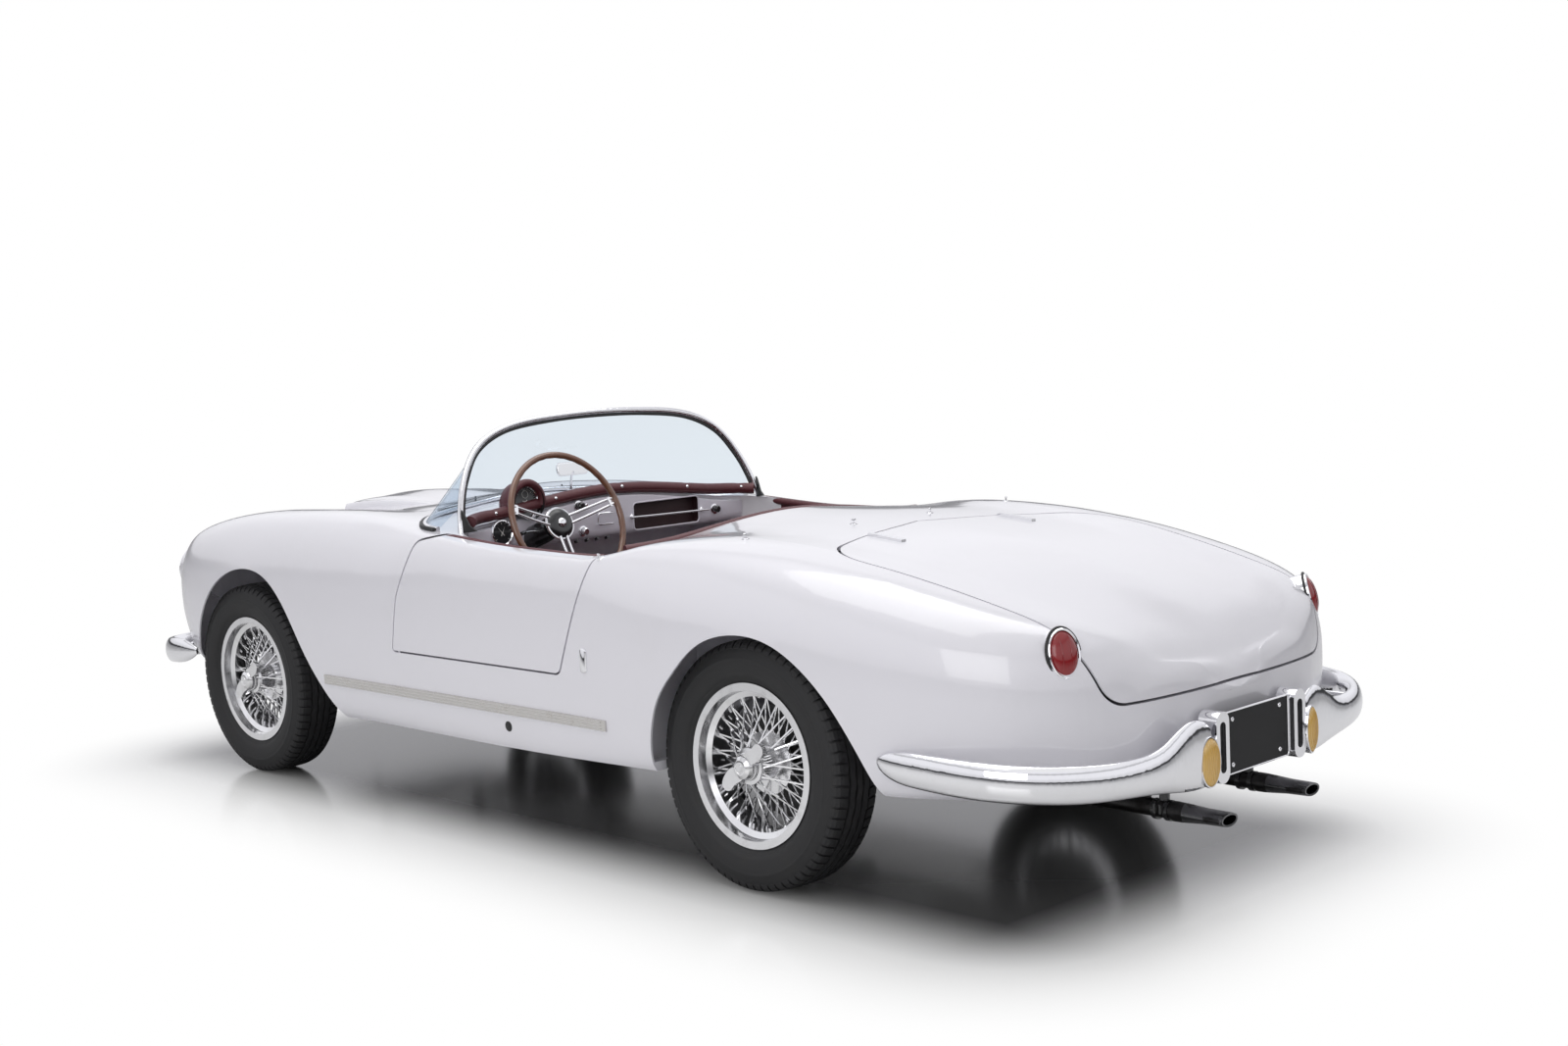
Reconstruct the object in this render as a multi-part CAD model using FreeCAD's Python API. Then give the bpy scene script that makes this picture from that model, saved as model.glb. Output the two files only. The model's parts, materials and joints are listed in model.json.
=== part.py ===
import FreeCAD, Part
import math
import os

# Open two-seat roadster. Front faces -Y, rear +Y, the car's left is +X, the floor is z = 0.
# Origin: on the floor, mid-length and mid-width.

V = FreeCAD.Vector

# Overall sizes, mm
wheelbase = 2450.0
front_axle_y = -1380.0
rear_axle_y = front_axle_y + wheelbase
front_track = 1270.0
rear_track = 1300.0
nose_y = -2075.0
tail_y = 2055.0

# Wheels and tyres
tyre_radius = 322.0
tyre_width = 165.0
tread_flat = 112.0
rim_flange_radius = 212.0
rim_width = 130.0
rim_seat_radius = 198.0
rim_well_radius = 180.0
rim_wall = 5.0
hub_outer_radius = 50.0
hub_inner_radius = 82.0
hub_barrel_radius = 38.0
hub_bore_radius = 24.0
hub_back_x = -58.0
hub_front_x = 70.0
spinner_front_x = 100.0
spoke_width = 4.2
spokes_outer_row = 24
spokes_inner_row = 48
spinner_span = 184.0
spinner_thickness = 13.0
rear_camber = 2.2
front_camber = -1.0

# Axles and steering
stub_clearance = 0.06
stub_length = 120.0
pillar_x = 530.0
pillar_radius = 21.0
pillar_low_z = 205.0
pillar_high_z = 585.0
knuckle_height = 140.0
knuckle_radius = 36.0
axle_tube_radius = 32.0
differential_radius = 118.0
differential_length = 210.0
back_plate_radius = 150.0
back_plate_thickness = 8.0
crossbar_z = 218.0
running_gap = 0.06

# Bodywork thicknesses and gaps
wing_skin = 6.0
lid_skin = 12.0
panel_gap = 5.5
lid_gap = 6.5
seat_touch = 0.3

# Front and rear wheel wells
front_well_inner_x = 376.0
front_well_front_y = -1768.0
front_well_rear_y = -905.0
front_well_top_z = 715.0
rear_well_inner_x = 540.0
rear_well_half_length = 372.0
rear_well_top_z = 690.0
axle_tunnel_half = 150.0
axle_tunnel_top_z = 470.0

# Arch edges, as seen from the side: (y, z) from the front foot round to the rear foot
front_arch = [(-1728, 180), (-1722, 330), (-1698, 400), (-1662, 470), (-1605, 550), (-1500, 645),
              (-1390, 695),
              (-1300, 709), (-1176, 688), (-1060, 605), (-964, 479), (-895, 390), (-794, 288), (-700, 180)]
rear_arch = [(740, 180), (741, 300), (756, 400), (788, 475), (854, 551), (950, 630), (1086, 668), (1200, 657),
             (1314, 604), (1407, 522), (1475, 425), (1528, 326), (1562, 180)]

# Door
door_front_y = -436.0
door_low_z = 505.0
door_low_rear_y = 368.0
door_high_rear_y = 512.0
door_inner_x = 672.0
door_top_front_y = -160.0
door_corner = 26.0
door_pivot_x = 750.0
door_pivot_y = -412.0
door_pivot_radius = 3.5
door_pivot_height = 18.0

# Cockpit
cockpit_half_width = 652.0
cockpit_rear_y = 552.0
cockpit_front_y = -300.0
cockpit_front_corner = 175.0
cockpit_rear_corner = 70.0
floor_top_z = 292.0
firewall_y = -640.0
footwell_top_z = 770.0
cabin_rear_y = 530.0
tunnel_half_width = 90.0
tunnel_height = 150.0

# Engine bay and bonnet
bonnet_half_width = 450.0
bonnet_front_y = -1835.0
bonnet_rear_y = -700.0
bonnet_front_half_width = 340.0
bonnet_corner = 75.0
bay_half_width = 350.0
bay_front_y = -1890.0
bay_floor_z = 345.0
bay_ledge_z = 745.0
engine_width = 420.0
engine_length = 520.0
engine_height = 360.0
engine_front_y = -1265.0
scoop_half_width = 235.0
scoop_height = 34.0
scoop_front_y = -1478.0
scoop_rear_y = -880.0
buffer_radius = 11.0

# Boot and its lid
lid_front_y = 1040.0
lid_front_corner_y = 1250.0
lid_half_width = 545.0
lid_rear_half_width = 505.0
lid_low_z = 532.0
lid_low_corner = 70.0
lid_hinge_x = 274.0
boot_half_width = 515.0
boot_front_y = 1265.0
boot_rear_y = 1935.0
boot_floor_z = 400.0
boot_ledge_z = 700.0

# Windscreen
hoop_foot_x = 629.0
hoop_foot_y = -228.0
hoop_foot_z = 846.0
hoop_top_z = 1186.0
hoop_lean = 0.285
hoop_radius = 9.5
glass_thickness = 5.0
screen_base_front_y = -640.0

# Steering wheel
steering_hub = V(330.0, -130.0, 861.0)
steering_tilt = 20.0
steering_rim_radius = 206.0
steering_grip_radius = 10.5
steering_dish = 46.0
column_radius = 19.0
column_bore = 9.0
dash_low_z = 715.0
dash_depth = 34.0
dash_roll_radius = 19.0
seat_front_y = 0.0
seat_rear_y = 484.0
seat_front_z = 470.0
seat_top_z = 850.0

# Lamps, plate, bumpers
tail_lamp_x = 536.0
tail_lamp_y = 1924.0
tail_lamp_z = 667.0
tail_lamp_height = 112.0
tail_lamp_width = 76.0
tail_lamp_turn = -24.0
head_lamp_x = 548.0
head_lamp_z = 655.0
head_lamp_face_y = -1950.0
head_lamp_radius = 88.0
small_lamp_x = 470.0
small_lamp_z = 505.0
small_lamp_radius = 34.0
grille_half_width = 165.0
grille_foot_half_width = 62.0
grille_low_z = 408.0
grille_high_z = 662.0
grille_depth = 120.0
grille_frame_width = 13.0
grille_corner = 48.0
grille_slats = 16
plate_half_width = 143.0
plate_low_z = 321.0
plate_high_z = 471.0
plate_y = 2098.0
plate_lamp_x = 172.0
plate_lamp_width = 54.0
plate_lamp_height = 172.0
plate_lamp_front_y = 2064.0
plate_lamp_face_y = 2115.0
plate_lamp_pocket = 12.0
bumper_end_y = 2115.0
overrider_front_y = -2133.0
overrider_depth = 36.0
sill_strip_front_y = -832.0
sill_strip_rear_y = 566.0
sill_strip_low_z = 365.0
sill_strip_high_z = 395.0
coaming_radius = 17.0
pipe_radius = 22.0
silencer_radius = 37.0
tailpipe_x = 186.0
tailpipe_z = 229.0
tailpipe_tip_y = 2136.0

nodes = {}


# Small helpers

def smooth_line(pairs):
    """Monotone cubic curve through a few (y, value) pairs, as a function of y."""
    ys = [p[0] for p in pairs]
    vs = [p[1] for p in pairs]
    steps = [(vs[i + 1] - vs[i]) / (ys[i + 1] - ys[i]) for i in range(len(ys) - 1)]
    slopes = [steps[0]]
    for before, after in zip(steps[:-1], steps[1:]):
        slopes.append(0.0 if before * after <= 0 else 2 * before * after / (before + after))
    slopes.append(steps[-1])

    def value(y):
        if y <= ys[0]:
            return vs[0]
        if y >= ys[-1]:
            return vs[-1]
        i = max(k for k in range(len(ys) - 1) if ys[k] <= y)
        span = ys[i + 1] - ys[i]
        t = (y - ys[i]) / span
        return ((2 * t ** 3 - 3 * t ** 2 + 1) * vs[i] + (t ** 3 - 2 * t ** 2 + t) * span * slopes[i]
                + (3 * t ** 2 - 2 * t ** 3) * vs[i + 1] + (t ** 3 - t ** 2) * span * slopes[i + 1])
    return value


def box(low, high):
    """Box between two corners."""
    return Part.makeBox(high[0] - low[0], high[1] - low[1], high[2] - low[2], V(*low))


def tube(start, end, radius):
    """Round bar from one point to another."""
    along = end - start
    return Part.makeCylinder(radius, along.Length, start, along)


def mirrored(shape):
    """The same piece on the other side of the car."""
    return shape.mirror(V(0, 0, 0), V(1, 0, 0))


def prism(points, along):
    """Straight-sided prism on a closed outline."""
    return Part.Face(Part.makePolygon(points + [points[0]])).extrude(along)


def joined(shapes):
    """One solid out of overlapping ones."""
    whole = shapes[0].multiFuse(shapes[1:])
    return whole.removeSplitter()


def smooth_wire(points, closed=False):
    """Smooth curve through points, as a wire."""
    curve = Part.BSplineCurve()
    curve.interpolate(Points=points, PeriodicFlag=closed)
    return Part.Wire(curve.toShape())


def swept_bar(points, radius):
    """Round bar along a smooth curve through points."""
    path = smooth_wire(points)
    edge = path.Edges[0]
    start = edge.valueAt(edge.FirstParameter)
    along = edge.tangentAt(edge.FirstParameter)
    ring = Part.Wire(Part.makeCircle(radius, start, along))
    return path.makePipeShell([ring], True, True)


# Body lines: each is a short list of places along the car and the value there

half_width = smooth_line([
    (nose_y, 120), (-2070, 205), (-2062, 272), (-2035, 408), (-1995, 528), (-1935, 622), (-1855, 687),
    (-1740, 727),
    (-1600, 749), (front_axle_y, 764), (-1000, 761), (-430, 757), (300, 757), (700, 768),
    (rear_axle_y, 777), (1350, 771), (1600, 744), (1750, 708), (1850, 661), (1920, 604), (1975, 526),
    (2015, 422), (2042, 281), (2050, 206), (tail_y, 120)])
widest_z = smooth_line([(nose_y, 545), (-1935, 590), (-1600, 570), (-1000, 530), (300, 520),
                        (rear_axle_y, 545), (1600, 540), (1920, 515), (tail_y, 440)])
bottom_z = smooth_line([(nose_y, 415), (-2035, 378), (-1935, 350), (-1740, 335), (-1500, 318), (-900, 256),
                        (-600, 262), (0, 262), (760, 276), (1500, 310), (1750, 313), (1900, 304), (1990, 312),
                        (2035, 348), (tail_y, 395)])
bottom_width = smooth_line([(nose_y, 90), (-2035, 310), (-1935, 478), (-1740, 636), (-1500, 704),
                            (-900, 722), (760, 738), (1500, 722), (1750, 640), (1900, 520), (1990, 400),
                            (2035, 240), (tail_y, 90)])
crown_x = smooth_line([(nose_y, 60), (-2035, 300), (-1935, 490), (-1740, 590), (-1400, 612), (-800, 622),
                       (-430, 655), (-235, 690), (300, 706), (520, 700), (620, 655), (850, 600),
                       (1300, 585), (1700, 560), (1880, 500), (1975, 400), (2035, 190), (tail_y, 60)])
crown_z = smooth_line([(nose_y, 610), (-2062, 628), (-2035, 652), (-1995, 690), (-1935, 738), (-1855, 783),
                       (-1740, 824), (-1600, 854), (-1400, 880), (-1200, 892), (-1000, 898), (-800, 897),
                       (-600, 886), (-390, 866), (-235, 851), (100, 829), (450, 821), (560, 843),
                       (700, 868), (850, 876), (1000, 872), (1150, 860), (1280, 845), (1410, 825),
                       (1550, 797), (1700, 762), (1840, 725), (1920, 694), (1975, 655), (2015, 605),
                       (2042, 555), (tail_y, 505)])
centre_z = smooth_line([(nose_y, 616), (-2062, 640), (-2035, 668), (-1995, 702), (-1935, 739), (-1855, 775),
                        (-1740, 809), (-1600, 841), (-1400, 869), (-1200, 886), (-1000, 899), (-800, 909),
                        (-600, 917), (-300, 925), (0, 920), (400, 902), (800, 890), (1050, 876),
                        (1230, 860), (1400, 838), (1600, 798), (1750, 757), (1850, 720), (1930, 676),
                        (1985, 628), (2020, 580), (2042, 540), (tail_y, 505)])
valley_depth = smooth_line([(nose_y, 0), (-1935, 4), (-1700, 14), (-1200, 15), (-700, 8), (-300, 0),
                            (900, 0), (1500, 3), (1850, 8), (1975, 2), (tail_y, 0)])
station_ys = [nose_y, -2070, -2062, -2035, -1995, -1935, -1855, -1740, -1600, front_axle_y, -1180, -980,
              -780, -600,
              -430, -300, -150, 50, 250, 400, 500, 580, 680, 800, 930, rear_axle_y, 1210, 1350, 1480,
              1600, 1720, 1820, 1890, 1940, 1985, 2018, 2042, 2050, tail_y]


def half_section(y, inset=0.0):
    """Right-hand half of the body's cross-section at y, from the bottom corner to the centre line."""
    w, wz = half_width(y), widest_z(y)
    bw, bz = bottom_width(y), bottom_z(y)
    cx, cz = crown_x(y), crown_z(y)
    mz, dip = centre_z(y), valley_depth(y)
    fullness = 2.0 / 2.45
    points = [(bw, bz)]
    for degrees in (60, 35, 14):
        t = math.radians(degrees)
        points.append((bw + (w - bw) * math.cos(t) ** fullness, wz - (wz - bz) * math.sin(t)))
    for degrees in (0, 20, 42, 66, 90):
        t = math.radians(degrees)
        points.append((cx + (w - cx) * math.cos(t) ** fullness, wz + (cz - wz) * math.sin(t) ** fullness))
    for share in (0.28, 0.52, 0.76, 1.0):
        rise = (1 - math.cos(math.pi * share)) / 2
        points.append((cx * (1 - share), cz + (mz - cz) * rise - dip * math.sin(math.pi * share)))
    if inset:
        points = inset_points(points, inset)
    return points


def inset_points(points, inset):
    """Points moved inward across the section by the wall's thickness."""
    moved = []
    for i, (x, z) in enumerate(points):
        before = points[max(i - 1, 0)]
        after = points[i + 1] if i + 1 < len(points) else (-points[-2][0], points[-2][1])
        dx, dz = after[0] - before[0], after[1] - before[1]
        size = math.hypot(dx, dz)
        moved.append((x - inset * dz / size, z + inset * dx / size))
    moved[-1] = (0.0, moved[-1][1])
    moved[0] = (moved[0][0], points[0][1] + inset)
    return moved


def section_wire(y, inset=0.0):
    """Closed cross-section: one smooth curve over the top and one straight edge along the bottom."""
    half = half_section(y, inset)
    left = [V(x, y, z) for x, z in half]
    right = [V(-p.x, p.y, p.z) for p in reversed(left[:-1])]
    points = left + right
    curve = Part.BSplineCurve()
    curve.interpolate(Points=points, Parameters=section_parameters)
    bottom = Part.LineSegment(points[-1], points[0]).toShape()
    return Part.Wire([curve.toShape(), bottom])


def parameters_of(half):
    """Even spacing of the section's points, the same at every station."""
    full = half + [(-x, z) for x, z in reversed(half[:-1])]
    lengths = [0.0]
    for a, b in zip(full[:-1], full[1:]):
        lengths.append(lengths[-1] + math.hypot(b[0] - a[0], b[1] - a[1]))
    return [s / lengths[-1] for s in lengths]


section_parameters = parameters_of(half_section(front_axle_y))


def body_loft(inset=0.0, first=nose_y, last=tail_y):
    """Solid of the body's outer form, or of its inside at one wall thickness."""
    stations = [y for y in station_ys if first <= y <= last]
    return Part.makeLoft([section_wire(y, inset) for y in stations], True, False)


def surface_z(x, y, inset=0.0):
    """Height of the body's upper surface over a point."""
    half = half_section(y, inset)
    upper = half[8:]
    for (x1, z1), (x2, z2) in zip(upper[:-1], upper[1:]):
        if x2 <= abs(x) <= x1:
            return z1 + (z2 - z1) * (x1 - abs(x)) / (x1 - x2)
    return upper[0][1]


def side_x(y, z):
    """Half-width of the body at a height below the shoulder."""
    half = half_section(y)
    for (x1, z1), (x2, z2) in zip(half[:-1], half[1:]):
        if z1 <= z <= z2:
            return x1 + (x2 - x1) * (z - z1) / (z2 - z1)
    return 0.0 if z > half[-1][1] else half[4][0]


def skin_y(x, z, end):
    """Where the nose (end -1) or the tail (end 1) reaches a given width and height."""
    inner, outer_y = (front_axle_y, nose_y) if end < 0 else (rear_axle_y, tail_y)
    for _ in range(40):
        middle = (inner + outer_y) / 2
        if side_x(middle, z) > x:
            inner = middle
        else:
            outer_y = middle
    return inner


# Cutting outlines

def side_prism(points, low_x, high_x):
    """Prism across the car on a smooth outline seen from the side."""
    wire = smooth_wire([V(low_x, y, z) for y, z in points])
    ends = wire.Vertexes
    closing = Part.LineSegment(ends[-1].Point, ends[0].Point).toShape()
    return Part.Face(Part.Wire([wire.Edges[0], closing])).extrude(V(high_x - low_x, 0, 0))


def rounded_outline(corners, radii):
    """Closed flat outline with its corners rounded: corners are vectors, one radius for each."""
    edges = []
    joints = []
    count = len(corners)
    for i, corner in enumerate(corners):
        before = (corners[i - 1] - corner)
        after = (corners[(i + 1) % count] - corner)
        before.normalize()
        after.normalize()
        half_angle = before.getAngle(after) / 2
        reach = radii[i] / math.tan(half_angle)
        middle = before + after
        middle.normalize()
        deep = corner + middle * (radii[i] / math.sin(half_angle) - radii[i])
        joints.append((corner + before * reach, deep, corner + after * reach))
    for i, (start, deep, end) in enumerate(joints):
        edges.append(Part.Arc(start, deep, end).toShape())
        following = joints[(i + 1) % count][0]
        if end.distanceToPoint(following) > 1e-6:
            edges.append(Part.LineSegment(end, following).toShape())
    return Part.Wire(edges)


def door_outline(grow, x):
    """Door's edge seen from the side, made larger all round by grow."""
    corners = [V(x, door_front_y - grow, door_low_z - grow),
               V(x, door_low_rear_y + grow, door_low_z - grow),
               V(x, door_high_rear_y + grow, 860.0),
               V(x, door_high_rear_y + grow + 40.0, 1000.0),
               V(x, door_top_front_y - grow, 1000.0),
               V(x, door_top_front_y - grow, 874.0 + grow),
               V(x, door_front_y + 100.0 - grow, 836.0 + grow),
               V(x, door_front_y + 27.0 - grow, 670.0)]
    return rounded_outline(corners, [8.0 + grow, door_corner + grow, 60.0, 10.0, 10.0, 10.0, 42.0 + grow,
                                     150.0])


def door_prism(grow, inner_x):
    """Block that cuts out the left door, or its aperture when grown."""
    return Part.Face(door_outline(grow, inner_x)).extrude(V(900.0 - inner_x, 0, 0))


def bonnet_prism(grow):
    """Block that cuts out the bonnet, or its aperture when grown."""
    z = bay_ledge_z
    hw, fw = bonnet_half_width + grow, bonnet_front_half_width + grow
    rear, front = bonnet_rear_y + grow, bonnet_front_y - grow
    corners = [V(hw, rear, z), V(-hw, rear, z), V(-fw, front, z), V(fw, front, z)]
    radius = bonnet_corner + grow
    return Part.Face(rounded_outline(corners, [radius] * 4)).extrude(V(0, 0, 400.0))


def lid_prism(grow):
    """Block that cuts out the boot lid: its plan outline met by its outline seen from behind."""
    hw, rw = lid_half_width + grow, lid_rear_half_width + grow
    low = lid_low_z - grow
    plan = [V(0, lid_front_y - grow, 0), V(200, lid_front_y + 48 - grow, 0),
            V(370, lid_front_y + 96 - grow, 0),
            V(hw - 60, lid_front_corner_y - 50 - grow, 0), V(hw - 8, lid_front_corner_y + 30, 0),
            V(hw, lid_front_corner_y + 160, 0), V(rw + 12, 1850, 0), V(rw, 2200, 0)]
    left = smooth_wire(plan).Edges[0]
    right = left.mirror(V(0, 0, 0), V(1, 0, 0))
    back = Part.LineSegment(V(rw, 2200, 0), V(-rw, 2200, 0)).toShape()
    from_above = Part.Face(Part.Wire([left, back, right])).extrude(V(0, 0, 1100.0))
    corner = lid_low_corner + grow
    behind = [V(-rw - 80, 900, 1000), V(-rw - 80, 900, 850), V(-rw + 48, 900, low), V(rw - 48, 900, low),
              V(rw + 80, 900, 850), V(rw + 80, 900, 1000)]
    edge = rounded_outline(behind, [5.0, 5.0, corner, corner, 5.0, 5.0])
    return from_above.common(Part.Face(edge).extrude(V(0, 1400.0, 0)))


def cockpit_prism(grow=0.0):
    """Block that opens the cockpit from above, its front corners round under the windscreen feet."""
    hw, front, rear = cockpit_half_width + grow, cockpit_front_y - grow, cockpit_rear_y + grow
    corners = [V(hw, rear, 600), V(-hw, rear, 600), V(-hw, front, 600), V(hw, front, 600)]
    front_radius, rear_radius = cockpit_front_corner + grow, cockpit_rear_corner + grow
    wire = rounded_outline(corners, [rear_radius, rear_radius, front_radius, front_radius])
    return Part.Face(wire).extrude(V(0, 0, 500))


def shield(grow):
    """Block with the grille's outline seen from the front: wide shoulders and a narrow rounded foot."""
    hw, fw = grille_half_width + grow, grille_foot_half_width + grow
    low, high = grille_low_z - grow, grille_high_z + grow
    corners = [V(-hw, nose_y - 60, high), V(hw, nose_y - 60, high), V(hw - 12, nose_y - 60, high - 120),
               V(fw, nose_y - 60, low), V(-fw, nose_y - 60, low), V(-hw + 12, nose_y - 60, high - 120)]
    top = grille_corner + grow
    wire = rounded_outline(corners, [top, top, 90.0, 34.0 + grow, 34.0 + grow, 90.0])
    return Part.Face(wire).extrude(V(0, 60 + grille_depth, 0))


def largest(shape):
    """The biggest solid of a cut piece."""
    return sorted(shape.Solids, key=lambda solid: -solid.Volume)[0]


def both_sides(shape):
    """The piece and its mirror image."""
    return [shape, mirrored(shape)]


# Bodywork

outer = body_loft()
inside_wing = body_loft(wing_skin, -1995, 2018)
inside_lid = body_loft(lid_skin, -1995, 2018)


def wheel_well(inner_x, low_y, high_y, top_z, arch):
    """Hollow for one left wheel, with its arch cut through the skin."""
    hidden = box((inner_x, low_y, 300), (900, high_y, top_z)).common(inside_wing)
    below = box((inner_x, low_y, 100), (700, high_y, 352))
    through = side_prism(arch, 640.0, 900.0)
    return [hidden, below, through]


def body_shell():
    """Whole painted body before it is parted where its real panels meet."""
    cuts = []
    rear_low, rear_high = rear_axle_y - rear_well_half_length, rear_axle_y + rear_well_half_length
    for tool in (wheel_well(front_well_inner_x, front_well_front_y, front_well_rear_y, front_well_top_z,
                            front_arch)
                 + wheel_well(rear_well_inner_x, rear_low, rear_high, rear_well_top_z, rear_arch)):
        cuts += both_sides(tool)
    cuts.append(box((-rear_well_inner_x - 1, rear_axle_y - axle_tunnel_half, 100),
                    (rear_well_inner_x + 1, rear_axle_y + axle_tunnel_half, axle_tunnel_top_z)))
    cuts.append(box((-front_well_inner_x - 1, front_axle_y - 90, 100),
                    (front_well_inner_x + 1, front_axle_y + 90, bay_floor_z - 12)))
    bay_top = box((-bonnet_half_width - 22, bay_front_y, bay_ledge_z),
                  (bonnet_half_width + 22, firewall_y - 40, 1000))
    cuts.append(bay_top.common(inside_lid))
    cuts.append(box((-bay_half_width, bay_front_y, bay_floor_z),
                    (bay_half_width, firewall_y - 40, bay_ledge_z + 1)))
    cuts.append(bonnet_prism(lid_gap))
    wide = door_inner_x - panel_gap
    cuts.append(box((-wide, firewall_y, floor_top_z), (wide, cabin_rear_y, footwell_top_z)))
    under_scuttle = box((-cockpit_half_width + 40, firewall_y, footwell_top_z - 1),
                        (cockpit_half_width - 40, cockpit_front_y + 10, 1000))
    cuts.append(under_scuttle.common(inside_lid))
    cuts.append(cockpit_prism())
    cuts += both_sides(door_prism(panel_gap, cockpit_half_width - 2))
    boot_top = box((-boot_half_width - 60, lid_front_y - 8, boot_ledge_z),
                   (boot_half_width + 60, boot_rear_y + 60, 1000))
    cuts.append(boot_top.common(inside_lid))
    cuts.append(box((-boot_half_width, boot_front_y, boot_floor_z),
                    (boot_half_width, boot_rear_y, boot_ledge_z + 1)))
    cuts.append(lid_prism(lid_gap))
    shell = outer.cut(cuts)
    return shell


shell = body_shell()
sill_top_z = door_low_z - panel_gap
front_join_y = firewall_y - 20
rear_join_y = 690.0


def wall(low, high):
    """Flat rectangular face between two corners that share one coordinate."""
    a, b = V(*low), V(*high)
    if a.x == b.x:
        corners = [a, V(a.x, b.y, a.z), b, V(a.x, a.y, b.z)]
    else:
        corners = [a, V(b.x, a.y, a.z), b, V(a.x, b.y, b.z)]
    return Part.Face(Part.makePolygon(corners + [a]))


def panel_of(solid):
    """Node that a piece of the parted body belongs to."""
    middle = solid.CenterOfMass
    if middle.y < front_join_y:
        return "front_wings_and_nose"
    if middle.y < rear_join_y and middle.z < sill_top_z:
        return "floor_and_sills"
    if middle.y < 0:
        return "scuttle"
    if abs(middle.x) > boot_half_width and solid.BoundBox.YMax > boot_rear_y:
        return "rear_wings"
    if boot_front_y < middle.y < boot_rear_y:
        return "boot_floor"
    return "tonneau_and_tail"


def parted_body():
    """The shell cut along its joints, as lists of solids by node name."""
    far, high = 1000.0, 1200.0
    joints = [wall((-far, front_join_y, 0), (far, front_join_y, high)),
              wall((-far, front_join_y, sill_top_z), (far, rear_join_y, sill_top_z)),
              wall((-far, rear_join_y, 0), (far, rear_join_y, sill_top_z)),
              wall((-far, 0, sill_top_z), (far, 0, high)),
              wall((boot_half_width, rear_join_y, 0), (boot_half_width, 2300, high)),
              wall((-boot_half_width, rear_join_y, 0), (-boot_half_width, 2300, high)),
              wall((boot_half_width, rear_join_y, sill_top_z), (far, rear_join_y, high)),
              wall((-far, rear_join_y, sill_top_z), (-boot_half_width, rear_join_y, high)),
              wall((-boot_half_width, boot_front_y, 0), (boot_half_width, boot_front_y, high)),
              wall((-boot_half_width, boot_rear_y, 0), (boot_half_width, boot_rear_y, high))]
    panels = {}
    for solid in shell.generalFuse(joints)[0].Solids:
        if solid.Volume > 1000.0:
            panels.setdefault(panel_of(solid), []).append(solid)
    return panels


def nacelle():
    """Left headlamp housing that swells out of the wing's front end."""
    rings = []
    for back, across, up, wider in ((0, 0, 0, 2), (50, 3, 2, 7), (130, 9, 5, 13), (230, 18, 9, 18)):
        y, x, z = head_lamp_face_y + back, head_lamp_x + across, head_lamp_z + up
        radius = head_lamp_radius + wider
        rings.append(Part.Wire(Part.makeCircle(radius, V(x, y, z), V(0, 1, 0))))
    return Part.makeLoft(rings, True, False)


def buffer(x, y, ledge_z):
    """Post that stands on a ledge and stops just below the closed panel's underside."""
    under = inside_lid.copy()
    under.translate(V(0, 0, -seat_touch))
    return tube(V(x, y, ledge_z - 5), V(x, y, 1000), buffer_radius).common(under)


def scoop_section(y, height):
    """Arched cross-section of the bonnet's air scoop, from just under the skin."""
    hw = scoop_half_width
    half = [(1.0, 0.0), (0.975, 0.55), (0.93, 0.72), (0.8, 0.85), (0.5, 0.95)]
    left = [(-share, rise) for share, rise in half]
    profile = left + [(0.0, 1.0)] + [(share, rise) for share, rise in reversed(half)]
    points = [V(hw * share, y, surface_z(hw * share, y) - 3.0 + height * rise) for share, rise in profile]
    curve = Part.BSplineCurve()
    curve.interpolate(Points=points, Parameters=[(1 + share) / 2 for share, rise in profile])
    base = Part.LineSegment(points[-1], points[0]).toShape()
    return Part.Wire([curve.toShape(), base])


def scoop_shape():
    """Low wide scoop that opens forward and fades into the bonnet at its rear."""
    length = scoop_rear_y - scoop_front_y
    shares = ((0.0, 1.0), (0.12, 1.06), (0.35, 0.98), (0.65, 0.62), (0.88, 0.2), (1.0, 0.02))
    body = Part.makeLoft([scoop_section(scoop_front_y + length * a, scoop_height * h) for a, h in shares],
                         True, False)
    mouth = Part.makeLoft([scoop_section(scoop_front_y - 20 + length * a, scoop_height * h)
                           for a, h in ((0.0, 0.78), (0.2, 0.7), (0.4, 0.5))], True, False)
    hollow = mouth.common(box((-scoop_half_width + 9, scoop_front_y - 30, 0),
                              (scoop_half_width - 9, -1000, 1200)))
    return body, hollow


panels = parted_body()
head_centre = V(head_lamp_x, head_lamp_face_y, head_lamp_z)
small_centre = V(small_lamp_x, skin_y(small_lamp_x, small_lamp_z, -1) - 6, small_lamp_z)
lamp_seats = []
for centre, radius, hole in ((head_centre, head_lamp_radius, 30.0), (small_centre, small_lamp_radius, 0.0)):
    lamp_seats += both_sides(tube(centre + V(0, -140, 0), centre + V(0, seat_touch, 0), radius + seat_touch))
    if hole:
        lamp_seats += both_sides(tube(centre, centre + V(0, hole, 0), radius - 8))
housing = nacelle()
bay_buffers = both_sides(buffer(bay_half_width + 45, bonnet_rear_y - 120, bay_ledge_z))
front = panels["front_wings_and_nose"][0].multiFuse(both_sides(housing) + bay_buffers)
nodes["front_wings_and_nose"] = largest(front.cut([shield(0.0)] + lamp_seats))
pins = []
for side in (-1, 1):
    foot = V(side * door_pivot_x, door_pivot_y, sill_top_z - 10)
    pins.append(tube(foot, foot + V(0, 0, 10 + door_pivot_height), door_pivot_radius))
nodes["floor_and_sills"] = largest(panels["floor_and_sills"][0].multiFuse(pins))
nodes["scuttle"] = Part.makeCompound(panels["scuttle"])
wings = []
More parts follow.
